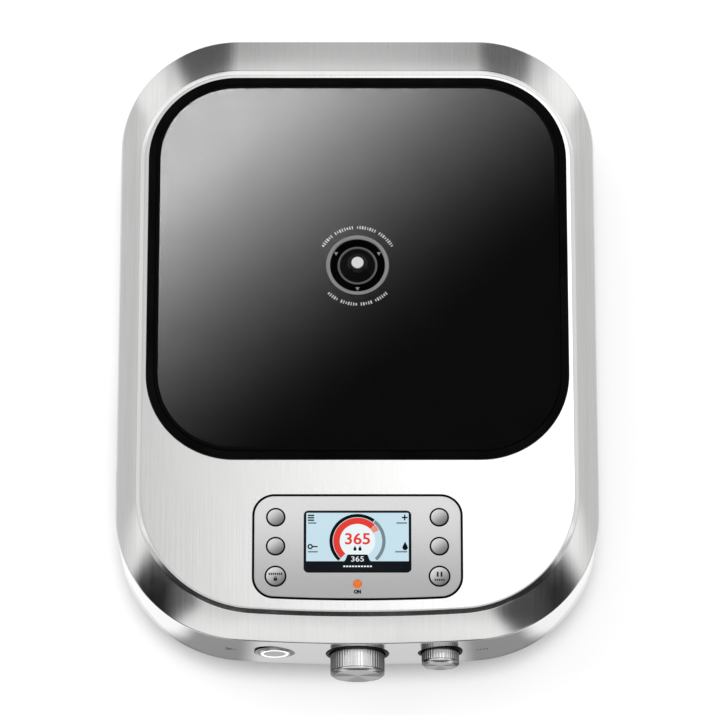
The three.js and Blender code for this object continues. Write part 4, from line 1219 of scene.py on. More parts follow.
@dataclass
class PanSensor(SubAssembly):
    """The sprung pan sensor in the middle of the glass."""

    bore: float = 19.8
    flange: float = 23.4
    plunger: float = 14.6
    stroke: float = 5.6
    spring_wire: float = 1.6
    spring_turns: int = 5

    def build(self) -> None:
        """Builds the ring, bellows, plunger and tip."""
        low, high = span("sensor_ring")
        place = at((low.x + high.x) / 2, (low.y + high.y) / 2)
        seat, top = high.z - 0.6, high.z
        ring = [(self.bore, low.z), (self.bore + 1.8, low.z), (self.bore + 1.8, seat),
                (self.flange - 0.4, seat),
                (self.flange - 0.4, seat + 0.2), (self.flange - 0.6, top - 0.1), (self.flange - 0.9, top),
                (self.bore + 1.0, top), (self.bore + 0.5, top - 0.15), (self.bore + 0.1, top - 0.6),
                (self.bore, top - 1.2)]
        self.show("sensor_bezel", moved(turned(ring, 128), place), RING_STEEL, ROOT, "spun_steel",
                  ["sensor_ring"])
        inner = self.plunger + 0.3
        waves = [(self.bore - 0.3 - i * (self.bore - 0.6 - inner) / 24,
                  105.6 + 0.9 * math.cos(i * TURN / 8) - 0.03 * i)
                 for i in range(25)]
        bellows = [(inner, 102.0), (self.bore - 0.3, 102.0)] + waves
        self.show("sensor_folds", moved(turned(bellows, 128), place), FOLD_RUBBER, ROOT, "silicone",
                  ["sensor_bellows"])
        rim = [(0, 80), (3.7, 80), (4, 80.4), (4, 100.6), (4.6, 101), (self.plunger - 0.3, 101),
               (self.plunger, 101.4)]
        dome = [(self.plunger, 105.9), (self.plunger - 0.15, 106.4), (self.plunger - 0.5, 106.7),
                (self.plunger - 1.3, 106.75), (self.plunger - 1.7, 106.3), (12.2, 106.2), (11.9, 106.9),
                (11.2, 107.6), (10.9, 107.3), (10.4, 108.4), (9.6, 109.5), (9.3, 109.3), (8.9, 110.3),
                (8.2, 111.2), (7.9, 111.0), (7.4, 111.8), (6.6, 112.5), (5.7, 112.95), (5.3, 113.1),
                (0, 113.1)]
        self.show("sensor_dome", moved(turned(rim + dome, 128), place), GLOSS_BLACK, "sensor_plunger",
                  "black_plastic", ["sensor_plunger"])
        band = [(12.9, 106.5), (14.55, 106.5), (14.45, 107.0), (14.1, 107.2), (13.3, 107.2), (12.95, 107.0)]
        self.show("sensor_dome_ring", moved(turned(band, 128), place), DARK_RING, "sensor_plunger",
                  "spun_steel")
        tip = [(0, 113.2), (4.1, 113.2), (4.4, 113.35), (4.45, 113.6), (4.2, 113.9), (3.7, 114.0), (0, 114.0)]
        self.show("sensor_contact", moved(turned(tip, 64), place), TIP_STEEL, "sensor_plunger",
                  "polished_steel", ["sensor_tip"])
        self.notches(place)
        self.dress(PLASTIC, "sensor_guide")
        self.spring(place)

    def spring(self, place: Matrix) -> None:
        """Winds the spring that the plunger presses on.

        Args:
            place: place of the sensor's axis.
        """
        low, high = span("sensor_spring")
        wire = self.spring_wire
        radius = (high.x - low.x - wire) / 2
        rise = high.z - low.z - wire
        coil = spiral_wire(SPRING_STEEL.material(), radius, radius, self.spring_turns, (wire, wire), rise)
        coil = moved(coil, place @ at(0, 0, low.z + wire / 2))
        obj = self.show("plunger_spring", coil, SPRING_STEEL, ROOT, "polished_steel", ["sensor_spring"])
        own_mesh(obj)

    def notches(self, place: Matrix) -> None:
        """Sets three small pointers inside the ring.

        Args:
            place: place of the sensor's axis.
        """
        pointers: list[bpy.types.Mesh] = []
        for degrees in (30.0, 150.0, 270.0):
            x, y = 18.0 * math.cos(math.radians(degrees)), 18.0 * math.sin(math.radians(degrees))
            tip = [(x, y - 1.6), (x + 1.6, y + 1.2), (x - 1.6, y + 1.2)]
            pointers.append(moved(softened(slab(tip, 106.5, 107.5), 0.15), place))
        self.show("sensor_pointers", joined(pointers), RING_STEEL, ROOT, "spun_steel")


@dataclass
class ControlPanel(SubAssembly):
    """The silver panel with its keys, lamp and display."""

    half_width: float = 73.8
    front: float = BODY_Y - 201.5
    back: float = BODY_Y - 125.8
    radius: float = 14.4
    outline_band: float = 1.45
    bow: float = 1250.0
    lens_half: Point = (38.2, 22.75)
    lens_middle: float = BODY_Y - 159.55
    key_column: float = 58.5
    key_rows: tuple[float, float, float] = (BODY_Y - 141.5, BODY_Y - 163.0, BODY_Y - 185.2)
    key_holes: tuple[float, float, float] = (7.0, 7.0, 7.85)
    key_names: tuple[str, ...] = ("menu_key", "probe_key", "settings_key", "units_key", "intensity_key",
                                  "pause_key")
    lamp_y: float = BODY_Y - 190.8

    def plan(self, grow: float) -> list[Point]:
        """Outlines the panel, whose front edge follows the body's bow, grown by a distance."""
        corner = self.radius + grow
        x = self.half_width - self.radius
        bow_y = self.front + self.bow
        reach = math.sqrt((self.bow - self.radius) ** 2 - x**2)
        turn = math.atan2(x, reach)
        return (
            arc((0, bow_y), self.bow + grow, -QUARTER - turn, -QUARTER + turn, 24, False)
            + arc((x, bow_y - reach), corner, -QUARTER + turn, 0, 14)
            + arc((x, self.back - self.radius), corner, 0, QUARTER, 14)
            + arc((-x, self.back - self.radius), corner, QUARTER, 2 * QUARTER, 14)
            + arc((-x, bow_y - reach), corner, 2 * QUARTER, 3 * QUARTER - turn, 14, False)
        )

    def key_places(self) -> list[tuple[str, float, float, float]]:
        """Lists each key's name, place and the radius of its hole."""
        places = []
        for i, name in enumerate(self.key_names):
            side, row = (-1 if i < 3 else 1), i % 3
            places.append((name, side * self.key_column, self.key_rows[row], self.key_holes[row]))
        return places

    def build(self) -> None:
        """Builds the plate, its outline, the keys, the lamp and the display."""
        low, high = span("control_panel")
        top = high.z
        face = loft([(self.plan(0), top - 2.4), (self.plan(0), top - 0.35), (self.plan(-0.15), top - 0.08),
                     (self.plan(-0.45), top), (self.plan(-1.4), top)])
        flange = slab(self.plan(4), top - 3.8, top - 2.0)
        holes = [slab(self.lens_plan(0.3), top - 6, top + 2)]
        holes += [self.drill(x, y, radius, top) for _, x, y, radius in self.key_places()]
        holes.append(self.drill(0, self.lamp_y, 3.2, top))
        copies = [mesh.copy() for mesh in holes]
        self.show("panel_face", joined([carved(face, *holes), carved(flange, *copies)]), PANEL, ROOT,
                  "panel_silver", ["control_panel"])
        gasket = slab(self.plan(self.outline_band), 103.8, top + 0.25)
        self.show("panel_outline", softened(carved(gasket, slab(self.plan(0.1), 100, 110)), 0.2), SILICONE,
                  ROOT, "silicone", ["panel_gasket"])
        self.keys(top)
        lamp = [(0, low.z + 2), (2.9, low.z + 2), (2.9, top - 0.1), (2.75, top + 0.3), (2.2, top + 0.75),
                (1.2, top + 1.05), (0, top + 1.15)]
        self.show("lamp_dome", moved(turned(lamp, 48), at(0, self.lamp_y)), AMBER, ROOT, "amber",
                  ["status_lamp"])
        display = Display(self.lens_middle, self.lens_half, top)
        display.build()
        self.made += display.made
        self.dress(BOARD, "control_board")
        self.dress(PLASTIC, "display_module")

    def lens_plan(self, grow: float) -> list[Point]:
        """Outlines the display's lens, grown by a distance."""
        return rounded_plan((0, self.lens_middle), self.lens_half[0] + grow, self.lens_half[1] + grow, 3.4, 8)

    def drill(self, x: float, y: float, radius: float, top: float) -> bpy.types.Mesh:
        """Returns a cutter for a round hole through the panel."""
        return moved(rod(radius, top - 6, top + 2, 64), at(x, y))

    def keys(self, top: float) -> None:
        """Builds the caps, the black rings round them and the symbols on them.

        Args:
            top: height of the panel.
        """
        rings: list[bpy.types.Mesh] = []
        for name, x, y, hole in self.key_places():
            radius = hole - 1.15
            low = span(name)[0].z
            place = at(x, y)
            cap = [(0, low), (radius + 1.8, low), (radius + 2, low + 0.2), (radius + 2, low + 1.4),
                   (radius, low + 1.4),
                   (radius, top - 0.1), (radius - 0.12, top + 0.3), (radius - 0.5, top + 0.52),
                   (radius - 1.2, top + 0.6),
                   (radius * 0.6, top + 0.72), (radius * 0.3, top + 0.8), (0, top + 0.82)]
            # Painted sheen: each cap grades from darker at the front right to lighter at the back left.
            centre = y - 0.7 * x
            finish = Graded(f"{name}_satin", (0.25, 0.25, 0.25), 0.34, 0.6, other=(0.9, 0.9, 0.9),
                            start=centre - radius * 1.25, end=centre + radius * 1.25, lean=0.7)
            self.show(f"{name}_cap", moved(turned(cap, 64), place), finish, name, "key_silver", [name])
            ring = [(radius + 0.12, top - 3), (hole - 0.02, top - 3), (hole - 0.02, top + 0.12),
                    (hole - 0.2, top + 0.26), (radius + 0.3, top + 0.26), (radius + 0.12, top + 0.12)]
            rings.append(moved(turned(ring, 64), place))
        self.show("key_rings", joined(rings), SILICONE, ROOT, "silicone")
        self.lock_symbol(top)
        self.pause_symbol(top)
        self.show("lamp_word", lettering("ON", 3.1, 0.06, (0, self.lamp_y - 5.8), top, 0.07, 0.86),
                  PRINT_BLACK, ROOT, "black_plastic")

    def lock_symbol(self, top: float) -> None:
        """Prints a row of ticks and a small padlock on the lower left key."""
        x, y = -self.key_column, self.key_rows[2]
        level = top + 0.78
        bars = [block((x + (i - 3) * 1.45, y + 1.5, level), (0.95, 1.6, 0.1)) for i in range(7)]
        case = block((x, y - 2.6, level), (2.6, 1.9, 0.1))
        hoop = turned([(0.55, -0.05), (1.1, -0.05), (1.1, 0.05), (0.55, 0.05)], 24)
        bow = moved(hoop, at(x, y - 1.5, level))
        self.show("lock_print", joined([*bars, case, bow]), PRINT_BLACK, "settings_key", "black_plastic")

    def pause_symbol(self, top: float) -> None:
        """Prints two upright bars over a row of ticks on the lower right key."""
        x, y = self.key_column, self.key_rows[2]
        level = top + 0.78
        bars = [block((x + side * 1.35, y + 1.2, level), (1.3, 3.6, 0.1)) for side in (-1, 1)]
        bars += [block((x + (i - 2) * 1.5, y - 2.9, level), (0.95, 1.4, 0.1)) for i in range(5)]
        self.show("pause_print", joined(bars), PRINT_BLACK, "pause_key", "black_plastic")


@dataclass
class Display(SubAssembly):
    """The lit screen behind its gloss lens."""

    middle: float
    half: Point
    top: float
    layer: float = 0.05

    def ring(self, inner: float, outer: float, start: float, end: float, level: float) -> bpy.types.Mesh:
        """Returns part of a flat ring round the gauge's middle, between two angles in degrees."""
        centre = (0.0, self.middle + 0.3)
        steps = max(6, int(abs(end - start) / 3))
        first, last = math.radians(start), math.radians(end)
        outline = arc(centre, outer, first, last, steps) + arc(centre, inner, last, first, steps)
        return slab(outline, level, level + self.layer)

    def bar(self, x: float, y: float, width: float, height: float, level: float) -> bpy.types.Mesh:
        """Returns a flat bar in the picture."""
        return block((x, y, level + self.layer / 2), (width, height, self.layer))

    def drop(self, x: float, y: float, size: float, level: float) -> bpy.types.Mesh:
        """Returns a flat drop with its point up."""
        round_part = arc((x, y), size * 0.5, math.radians(150), math.radians(390), 14)
        return slab([(x, y + size * 1.15)] + round_part, level, level + self.layer)

    def build(self) -> None:
        """Builds the lens and the layers of its picture."""
        lens_low = span("display_lens")[0].z
        top = self.top + 0.3
        half_width, half_depth = self.half

        def rim(grow: float) -> list[Point]:
            """Outlines the lens, grown by a distance."""
            return rounded_plan((0, self.middle), half_width + grow, half_depth + grow, 3.4 + grow, 8)

        lens = loft([(rim(0), lens_low), (rim(0), top - 0.4), (rim(-0.12), top - 0.1), (rim(-0.4), top),
                     (rim(-1.0), top)])
        self.show("lens_slab", lens, LENS, ROOT, "display_lens", ["display_lens"])
        back = self.middle + half_depth
        picture = [(-36.6, back - 37.4), (-9.6, back - 37.4), (-8.6, back - 36.4), (-7.4, back - 33.1),
                   (-6.4, back - 32.0),
                   (6.4, back - 32.0), (7.4, back - 33.1), (8.6, back - 36.4), (9.6, back - 37.4),
                   (36.6, back - 37.4),
                   (36.6, back - 2.1), (36.0, back - 1.5), (-36.0, back - 1.5), (-36.6, back - 2.1)]
        self.show("picture_field", slab(picture, top, top + self.layer), SCREEN_BLUE, ROOT, "display")
        level = top + self.layer
        dial = slab(arc((0.0, self.middle + 0.3), 12.7, math.radians(-52), math.radians(232), 80), level,
                    level + self.layer)
        self.show("picture_dial", dial, SCREEN_WHITE, ROOT, "display")
        ink = [self.ring(17.7, 20.1, 227, 52, level)]
        ink += [self.bar(-33.3, back - y, 4.6, 1.05, level) for y in (3.4, 5.2, 7.0)]
        ink += [self.bar(33.8, back - 5.0, 4.2, 1.0, level), self.bar(33.8, back - 5.0, 1.0, 4.2, level)]
        ink += [self.drop(34.0, back - 27.3, 3.9, level),
                self.drop(-1.8, self.middle - 5.8, 2.3, level + 0.05),
                self.drop(1.8, self.middle - 5.8, 2.3, level + 0.05)]
        bulb = turned([(0.95, 0), (1.95, 0), (1.95, self.layer), (0.95, self.layer)], 24)
        probe = moved(bulb, at(-33.8, back - 26.6, level))
        ink += [probe, self.bar(-30.2, back - 26.6, 3.4, 0.95, level)]
        self.show("picture_ink", joined(ink), SCREEN_INK, ROOT, "display")
        grey = [self.ring(17.7, 20.1, 50, -46, level)]
        for x, y, width in ((-32.4, 9.1, 6.0), (31.6, 9.1, 7.6), (-31.9, 30.4, 7.0), (31.2, 30.4, 8.6)):
            grey.append(self.bar(x, back - y, width, 1.15, level))
        self.show("picture_grey", joined(grey), SCREEN_GREY, ROOT, "display")
        number = lettering("365", 8.6, self.layer, (0, self.middle + 2.0), level + self.layer, 0.018, 1.1)
        self.show("picture_red", joined([self.ring(12.7, 17.3, 227, 44, level), number]), SCREEN_RED, ROOT,
                  "display")
        self.show("picture_pale_red", self.ring(12.7, 17.3, 43, 28, level), SCREEN_PINK, ROOT, "display")
        white = [lettering("365", 3.9, self.layer, (0, back - 35.7), top, 0.005, 1.2)]
        white += [self.bar(-9.4 + i * 2.1, back - 41.2, 1.45, 1.1, top) for i in range(10)]
        self.show("picture_white", joined(white), SCREEN_WHITE, ROOT, "display")


@dataclass
class Dial(SubAssembly):
    """A fluted metal dial in its black collar."""

    name: str
    radius: float
    collar: float
    protrusion: float
    flutes: int

    def build(self) -> None:
        """Builds the collar and the knob, and dresses the encoder."""
        place = self.place()
        collar = self.collar
        cup = [(4.9, -8.3), (collar - 0.2, -8.3), (collar, -8.1), (collar, -6.5), (collar + 2.5, -6.5),
               (collar + 2.5, -3), (collar, -3), (collar, 0.1), (collar - 0.15, 0.4), (collar - 0.5, 0.5),
               (self.radius + 1.25, 0.5),
               (self.radius + 0.95, 0.35), (self.radius + 0.9, 0.0), (self.radius + 0.9, -6.5), (4.9, -6.5)]
        self.show(f"{self.name}_cup", moved(turned(cup, 128), place), COLLAR_BLACK, ROOT, "black_plastic",
                  [f"{self.name}_collar"])
        tall, core = self.protrusion, self.radius - 0.7
        knob = [(3.3, -1.0), (core - 2, -1.0), (core - 2, -2.2), (core, -2.2), (core, tall - 3.2),
                (core + 0.4, tall - 2.9),
                (self.radius, tall - 2.6), (self.radius, tall - 1.5), (self.radius - 0.12, tall - 1.3),
                (self.radius - 1.75, tall - 0.2),
                (self.radius - 1.95, tall - 0.04), (self.radius - 2.2, tall),
                (self.radius - 2.4, tall - 0.15),
                (self.radius * 0.5, tall - 0.35), (0, tall - 0.4), (0, tall - 4.7), (3.3, tall - 4.7)]
        low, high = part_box(f"{self.name}_knob")
        middle = (low + high) / 2
        # The knob's finish has painted reflections and shade in its colour, which turn with the dial.
        finish = PaintedFanSpunDial(f"{self.name}_spun_steel", (0.9, 0.9, 0.9), 0.22, 1.0, lines=2400.0,
                          axis=tuple(middle))
        body = turned(knob, 128)
        height = tall - 3.2 + 2.2
        ridge = round_row(finish.material(), self.flutes, self.radius - 0.62, (1.2, 1.2, height), sides=12)
        ridge = moved(ridge, at(0, 0, (tall - 3.2 - 2.2) / 2))
        self.show(f"{self.name}_grip", moved(joined([body, ridge]), place), finish, f"{self.name}_dial",
                  "spun_steel", [f"{self.name}_knob"])
        self.dress(ZINC, f"{self.name}_encoder")
        self.dress(PLASTIC, f"{self.name}_rotor")
        self.dress(ALUMINIUM, f"{self.name}_shaft")

    def place(self) -> Matrix:
        """Returns the place of the dial's axis, with its zero at the wall."""
        low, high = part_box(f"{self.name}_knob")
        wall = low.y + self.protrusion * MM
        return Matrix.Translation(((low.x + high.x) / 2, wall, (low.z + high.z) / 2)) @ tipped("X")


@dataclass
class PowerButton(SubAssembly):
    """The power button, its ring of light and its dished bezel."""

    radius: float = 11.6
    bezel: float = 14.2
    light: Point = (8.4, 9.9)

    def build(self) -> None:
        """Builds the bezel, the painted shadow at its upper edge, the button and the light."""
        low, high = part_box("power_button")
        face = 1.4
        wall = low.y + face * MM
        place = Matrix.Translation(((low.x + high.x) / 2, wall, (low.z + high.z) / 2)) @ tipped("X")
        edge = self.radius + 0.3
        bezel = [(edge, -6), (self.bezel, -6), (self.bezel, 0.2), (self.bezel - 0.1, 0.38),
                 (self.bezel - 0.35, 0.4),
                 (self.bezel - 0.8, 0.1), (edge + 0.8, -1.2), (edge + 0.3, -1.45), (edge, -1.6)]
        self.show("dished_bezel", moved(turned(bezel, 128), place), BUTTON_STEEL, ROOT, "spun_steel",
                  ["power_bezel"])
        # Painted shadow: a black crescent, thick at the top and thin at the bottom, stands for the shade
        # round the bezel's edge.
        painted_shadow_disc = moved(rod(self.bezel + 0.5, -6.5, 0.16, 128), place)
        rim = moved(rod(self.bezel + 0.05, -8, 2, 128), place)
        painted_shadow_crescent = carved(moved(painted_shadow_disc, at(0, 0, 0.4)), rim)
        self.show("bezel_gap", painted_shadow_crescent, COLLAR_BLACK, ROOT, "black_plastic")
        inner, outer = self.light
        cap = [(0, -5), (self.radius, -5), (self.radius, face - 1.2), (self.radius - 0.15, face - 0.55),
               (self.radius - 0.5, face - 0.12),
               (self.radius - 0.9, face), (outer + 0.3, face), (outer + 0.3, face - 1),
               (inner - 0.3, face - 1), (inner - 0.3, face - 0.05),
               (inner - 0.6, face), (inner * 0.5, face - 0.12), (0, face - 0.2)]
        self.show("button_cap", moved(turned(cap, 128), place), BUTTON_STEEL, "power_button", "spun_steel",
                  ["power_button"])
        ring = [(inner, face - 0.7), (outer, face - 0.7), (outer, face), (outer - 0.15, face + 0.1),
                (inner + 0.15, face + 0.1), (inner, face)]
        self.show("button_light", moved(turned(ring, 128), place), RING_LIGHT, "power_button", "light_ring",
                  ["power_light_ring"])
        self.dress(PLASTIC, "power_switch")


@dataclass
class InductionUnit(SubAssembly):
    """The coil under the glass with its carrier and ferrite."""

    inner: float = 30.0
    outer: float = 102.0
    turns: int = 9

    def build(self) -> None:
        """Winds the coil and dresses what carries it."""
        low, high = span("induction_coil")
        glass_low, glass_high = span("glass_top")
        y = (glass_low.y + glass_high.y) / 2
        pitch = (self.outer - self.inner) / self.turns
        wire = spiral_wire(COPPER.material(), self.inner, self.outer, self.turns,
                           (0.78 * pitch, high.z - low.z))
        place = at(0, y, (low.z + high.z) / 2)
        self.show("coil_winding", moved(wire, place), COPPER, ROOT, "copper", ["induction_coil"])
        self.dress(MICA, "coil_carrier")
        self.dress(FERRITE, "ferrite_star")


@dataclass
class Electronics(SubAssembly):
    """The power board and its components."""

    def build(self) -> None:
        """Builds the capacitor's can, winds the choke and dresses the rest."""
        low, high = span("filter_capacitor")
        middle = middle_of("filter_capacitor")
        place = at(middle.x, middle.y)
        can = [(0, low.z), (12.4, low.z), (12.9, low.z + 0.5), (12.9, low.z + 2.0), (12.3, low.z + 2.7),
               (12.9, low.z + 3.4),
               (12.9, high.z - 0.7), (12.5, high.z - 0.1), (11.9, high.z), (11.2, high.z - 0.4),
               (0, high.z - 0.4)]
        sleeve = Moulded("capacitor_sleeve", (0.02, 0.05, 0.16), 0.35, grain=600.0, relief=0.01)
        self.show("capacitor_can", moved(turned(can, 64), place), sleeve, ROOT, "component_case",
                  ["filter_capacitor"])
        self.choke()
        self.dress(BOARD, "power_board")
        self.dress(ALUMINIUM, "heatsink")
        self.dress(PLASTIC, "power_transistor")

    def choke(self) -> None:
        """Winds the choke's wire round its core."""
        place = at(*middle_of("line_choke"))
        turns = round_row(COPPER.material(), 34, 13.0, (9.6, 1.9, 9.6), sides=0)
        core = [(9.0, -3.6), (17.0, -3.6), (17.6, -3.0), (17.6, 3.0), (17.0, 3.6), (9.0, 3.6), (8.6, 3.0),
                (8.6, -3.0)]
        self.show("choke_core", moved(turned(core, 64), place), FERRITE, ROOT, "ferrite")
        self.show("choke_winding", moved(softened(turns, 0.7, 2), place), COPPER, ROOT, "copper",
                  ["line_choke"])


@dataclass
class Cooling(SubAssembly):
    """The fan and the filter cassette under it."""

    blades: int = 7

    def build(self) -> None:
        """Builds the rotor with its blades and the filter's wire cloth."""
        base = span("fan_rotor")[0].z - 3
        place = at(-96, BODY_Y - 70, base)
        hub = [(0, 3), (16.2, 3), (17, 3.8), (17, 20.4), (16.2, 21.4), (0, 21.4)]
        vanes = round_row(PLASTIC.material(), self.blades, 28.3, (25.6, 18.0, 1.6), tilt=TURN / 10)
        vanes = moved(softened(vanes, 0.5, 2), at(0, 0, 12))
        self.show("fan_wheel", moved(joined([turned(hub, 64), vanes]), place), PLASTIC, "fan_rotor",
                  "black_plastic", ["fan_rotor"])
        self.dress(PLASTIC, "fan_frame")
        self.dress(PLASTIC, "air_filter")
        filter_low, filter_high = span("air_filter")
        cloth_z = filter_low.z + 2.6
        centre = at(filter_high.x - 52, (filter_low.y + filter_high.y) / 2, cloth_z)
        wires = [straight_row(ZINC.material(), 60, (1.6, 0, 0), (0.25, 98, 0.25)),
                 straight_row(ZINC.material(), 60, (0, 1.6, 0), (98, 0.25, 0.25))]
        self.show("filter_cloth", moved(joined(wires), centre), ZINC, "air_filter", "filter")


@dataclass
class Base(SubAssembly):
    """The base pan with its feet and screws."""

    def build(self) -> None:
        """Builds the feet and the screws, and dresses the pan."""
        self.dress(PLASTIC, "base_pan")
        for side in CORNERS:
            self.foot(f"foot_{side}")
        self.screws()

    def foot(self, node: str) -> None:
        """Builds one foot with grooves in its tread."""
        middle = middle_of(node)
        tall = span(node)[1].z
        tread = [(0, 0.6), (3, 0.6), (3.3, 0), (6, 0), (6.3, 0.6), (8, 0.6), (8.3, 0), (12.2, 0),
                 (13.1, 0.3), (13.6, 1.2)]
        side = [(14.8, tall - 1.4), (14.95, tall - 0.7), (14.8, tall), (0, tall)]
        place = at(middle.x, middle.y)
        self.show(f"{node}_pad", moved(turned(tread + side, 64), place), RUBBER, ROOT, "rubber", [node])

    def screws(self) -> None:
        """Builds the four base screws with cross recesses in their heads."""
        meshes: list[bpy.types.Mesh] = []
        for node in SCREW_NODES:
            low, high = span(node)
            middle = middle_of(node)
            seat = low.z + 2
            head = [(0, low.z), (1.6, low.z + 0.1), (2.4, low.z + 0.45), (2.9, low.z + 1.1),
                    (3, low.z + 1.6), (3, seat), (1.4, seat), (1.4, high.z - 0.6), (1.0, high.z), (0, high.z)]
            cross = [block((0, 0, low.z), (3.2, 0.7, 2.0)), block((0, 0, low.z), (0.7, 3.2, 2.0))]
            screw = carved(carved(turned(head, 48), cross[0]), cross[1])
            meshes.append(moved(screw, at(middle.x, middle.y)))
        self.show("base_screws", joined(meshes), ZINC, ROOT, "zinc_plated_steel", SCREW_NODES)


# ---- Studio ----
@dataclass(frozen=True)
class Patch:
    """A soft-edged patch of the studio's surroundings, as the metal sees it."""

    bearing: float
    elevation: float
    inner: float
    outer: float
    brightness: float

    def direction(self) -> tuple[float, float, float]:
        """Returns the way to its middle. Bearing 0 is in front of the controls, and positive to the right."""
        bearing, elevation = math.radians(self.bearing), math.radians(self.elevation)
        return (math.sin(bearing) * math.cos(elevation), -math.cos(bearing) * math.cos(elevation),
                math.sin(elevation))


@dataclass
class Studio:
    """A pale floor, soft surroundings, one soft lamp and the camera."""

    tilt: float = 18.0
    distance: float = 3.4
    target: tuple[float, float, float] = (0.0, BODY_Y * MM - 0.0222, 0.108)
    lens: float = 236.8
    floor_size: float = 24.0
    patches: tuple[Patch, ...] = (
        Patch(0, 4, 13, 20, 0.01),
        Patch(-26, 4, 13, 20, 0.01),
        Patch(26, 4, 13, 20, 0.01),
        Patch(-50, 8, 15, 21, 0.02),
        Patch(50, 8, 15, 21, 0.02),
        Patch(-61, 32, 11, 19, 0.005),
        Patch(-48, 40, 4, 10, 0.1),
        Patch(57, 33, 10, 22, 0.005),
        Patch(40, 38, 8, 16, 0.06),
        Patch(180, 12, 6, 14, 0.68),
        Patch(180, -2, 5, 10, 1.3),
        Patch(169, 14, 6, 11, 0.03),
        Patch(168, 23, 6, 12, 0.12),
        Patch(-167, 14, 7, 13, 0.03),
        Patch(-167, 23, 6, 12, 0.1),
        Patch(143, 14, 5, 12, 1.2),
        Patch(-143, 14, 5, 11, 1.1),
    )

    def build(self) -> None:
        """Sets up the whole studio."""
        self.camera()
        self.floor()
        self.surroundings()
        self.lamp()
        self.cards()
        bpy.context.scene.view_settings.view_transform = "Standard"

    def camera(self) -> None:
        """Places the camera above and in front of the cooktop."""
        data = bpy.data.cameras.new("camera")
        data.lens, data.sensor_width = self.lens, 36.0
        data.clip_end = 100.0
        camera = bpy.data.objects.new("camera", data)
        bpy.context.scene.collection.objects.link(camera)
        lean = math.radians(self.tilt)
        back = Vector((0, -math.sin(lean), math.cos(lean)))
        camera.location = Vector(self.target) + back * self.distance
        camera.rotation_euler = (lean, 0, 0)
        bpy.context.scene.camera = camera

    def floor(self) -> None:
        """Lays the floor, with painted contact shadow and painted shade beside the body."""
        half = self.floor_size / 2 / MM
        mesh = slab([(-half, -half), (half, -half), (half, half), (-half, half)], -20, -0.05)
        material = bpy.data.materials.new("studio_floor")
        material.use_nodes = True
        shader = material.node_tree.nodes["Principled BSDF"]
        shader.inputs["Roughness"].default_value = 0.9
        shader.inputs["Specular IOR Level"].default_value = 0.1
        shader.inputs["Emission Color"].default_value = (1, 1, 1, 1)
        graph = Graph(material.node_tree)
        place = graph.node("SeparateXYZ", None, Vector=graph.node("TexCoord").outputs["Object"])
        across = graph.maths("ABSOLUTE", place.outputs["X"])
        front = graph.ramp(place.outputs["Y"], -0.15, -0.1, 1.0, 0.0)
        # Painted shade seen only in reflections: the floor is darker in a band beside the body's front
        # corners, which the front wall reflects; it also grows darker far in front and lighter behind.
        band = graph.maths("MULTIPLY", graph.ramp(across, 0.07, 0.09),
                           graph.ramp(across, 0.13, 0.15, 1.0, 0.0))
        corner = graph.maths("MULTIPLY", graph.ramp(across, 0.13, 0.15, 0.0, 0.3), front)
        near = graph.maths("SUBTRACT", 0.85,
                           graph.maths("MULTIPLY", graph.maths("MULTIPLY", band, front), 0.5))
        far_front = graph.ramp(place.outputs["Y"], -1.1, -0.7, 0.03, 1.0)
        far_back = graph.ramp(place.outputs["Y"], 0.3, 0.5, 0.0, 0.3)
        lit_near = graph.maths("MULTIPLY", graph.maths("ADD", near, corner), far_front)
        mirrored = graph.maths("MULTIPLY", graph.maths("ADD", lit_near, far_back), 0.96)
        # Painted contact shadow for the camera: the floor's colour and glow darken where ambient occlusion
        # finds the body within 30 mm.
        closeness = graph.node("AmbientOcclusion", {"samples": 8}, Distance=0.03).outputs["AO"]
        contact = graph.ramp(closeness, 0.3, 0.95, 0.25, 1.0)
        seen = graph.node("LightPath").outputs["Is Camera Ray"]
        level = graph.node("Mix", None, Factor=seen, A=mirrored, B=contact).outputs["Result"]
        lit = graph.maths("MULTIPLY", level, 0.45)
        graph.put(graph.node("CombineColor", None, Red=lit, Green=lit, Blue=lit).outputs[0],
                  shader.inputs["Base Color"])
        graph.put(graph.maths("MULTIPLY", level, 0.74), shader.inputs["Emission Strength"])
        mesh.materials.append(material)
        obj = bpy.data.objects.new("studio_floor", mesh)
        bpy.context.scene.collection.objects.link(obj)

    def surroundings(self) -> None:
        """Shapes the light from all round, with dark and bright patches for the metal to reflect."""
        world = bpy.data.worlds.new("studio")
        bpy.context.scene.world = world
        world.use_nodes = True
        graph = Graph(world.node_tree)
        background = world.node_tree.nodes["Background"]
        way = graph.node("TexCoord").outputs["Generated"]
        up = graph.node("SeparateXYZ", None, Vector=way).outputs["Z"]
        rise = graph.ramp(up, 0.22, 0.52, 0.68, 1.16)
        fall = graph.ramp(up, 0.48, 0.75, 0.0, 0.44)
        level = graph.maths("SUBTRACT", rise, fall)
        colour: Any = graph.node("CombineColor", None, Red=level, Green=level, Blue=level).outputs[0]
        for patch in self.patches:
            near = graph.node("VectorMath", {"operation": "DOT_PRODUCT"}, i0=way,
                              i1=patch.direction()).outputs["Value"]
            inside = graph.ramp(near, math.cos(math.radians(patch.outer)),
                                math.cos(math.radians(patch.inner)))
            colour = graph.mix(inside, colour, (patch.brightness,) * 3)
        seen = graph.node("LightPath").outputs["Is Camera Ray"]
        graph.put(graph.mix(seen, colour, (0.93, 0.93, 0.93)), background.inputs["Color"])

    def lamp(self) -> None:
        """Hangs one wide soft lamp at the back left, for the shadow."""
        data = bpy.data.lights.new("key", "AREA")
        data.shape, data.size, data.energy = "DISK", 2.0, 22.0
        lamp = bpy.data.objects.new("key", data)
        bpy.context.scene.collection.objects.link(lamp)
        lamp.location = (-1.6, 0.9, 3.0)
        lamp.rotation_euler = (Vector((0, 0, 0.05)) - lamp.location).to_track_quat("-Z", "Y").to_euler()
        lamp.visible_glossy = False

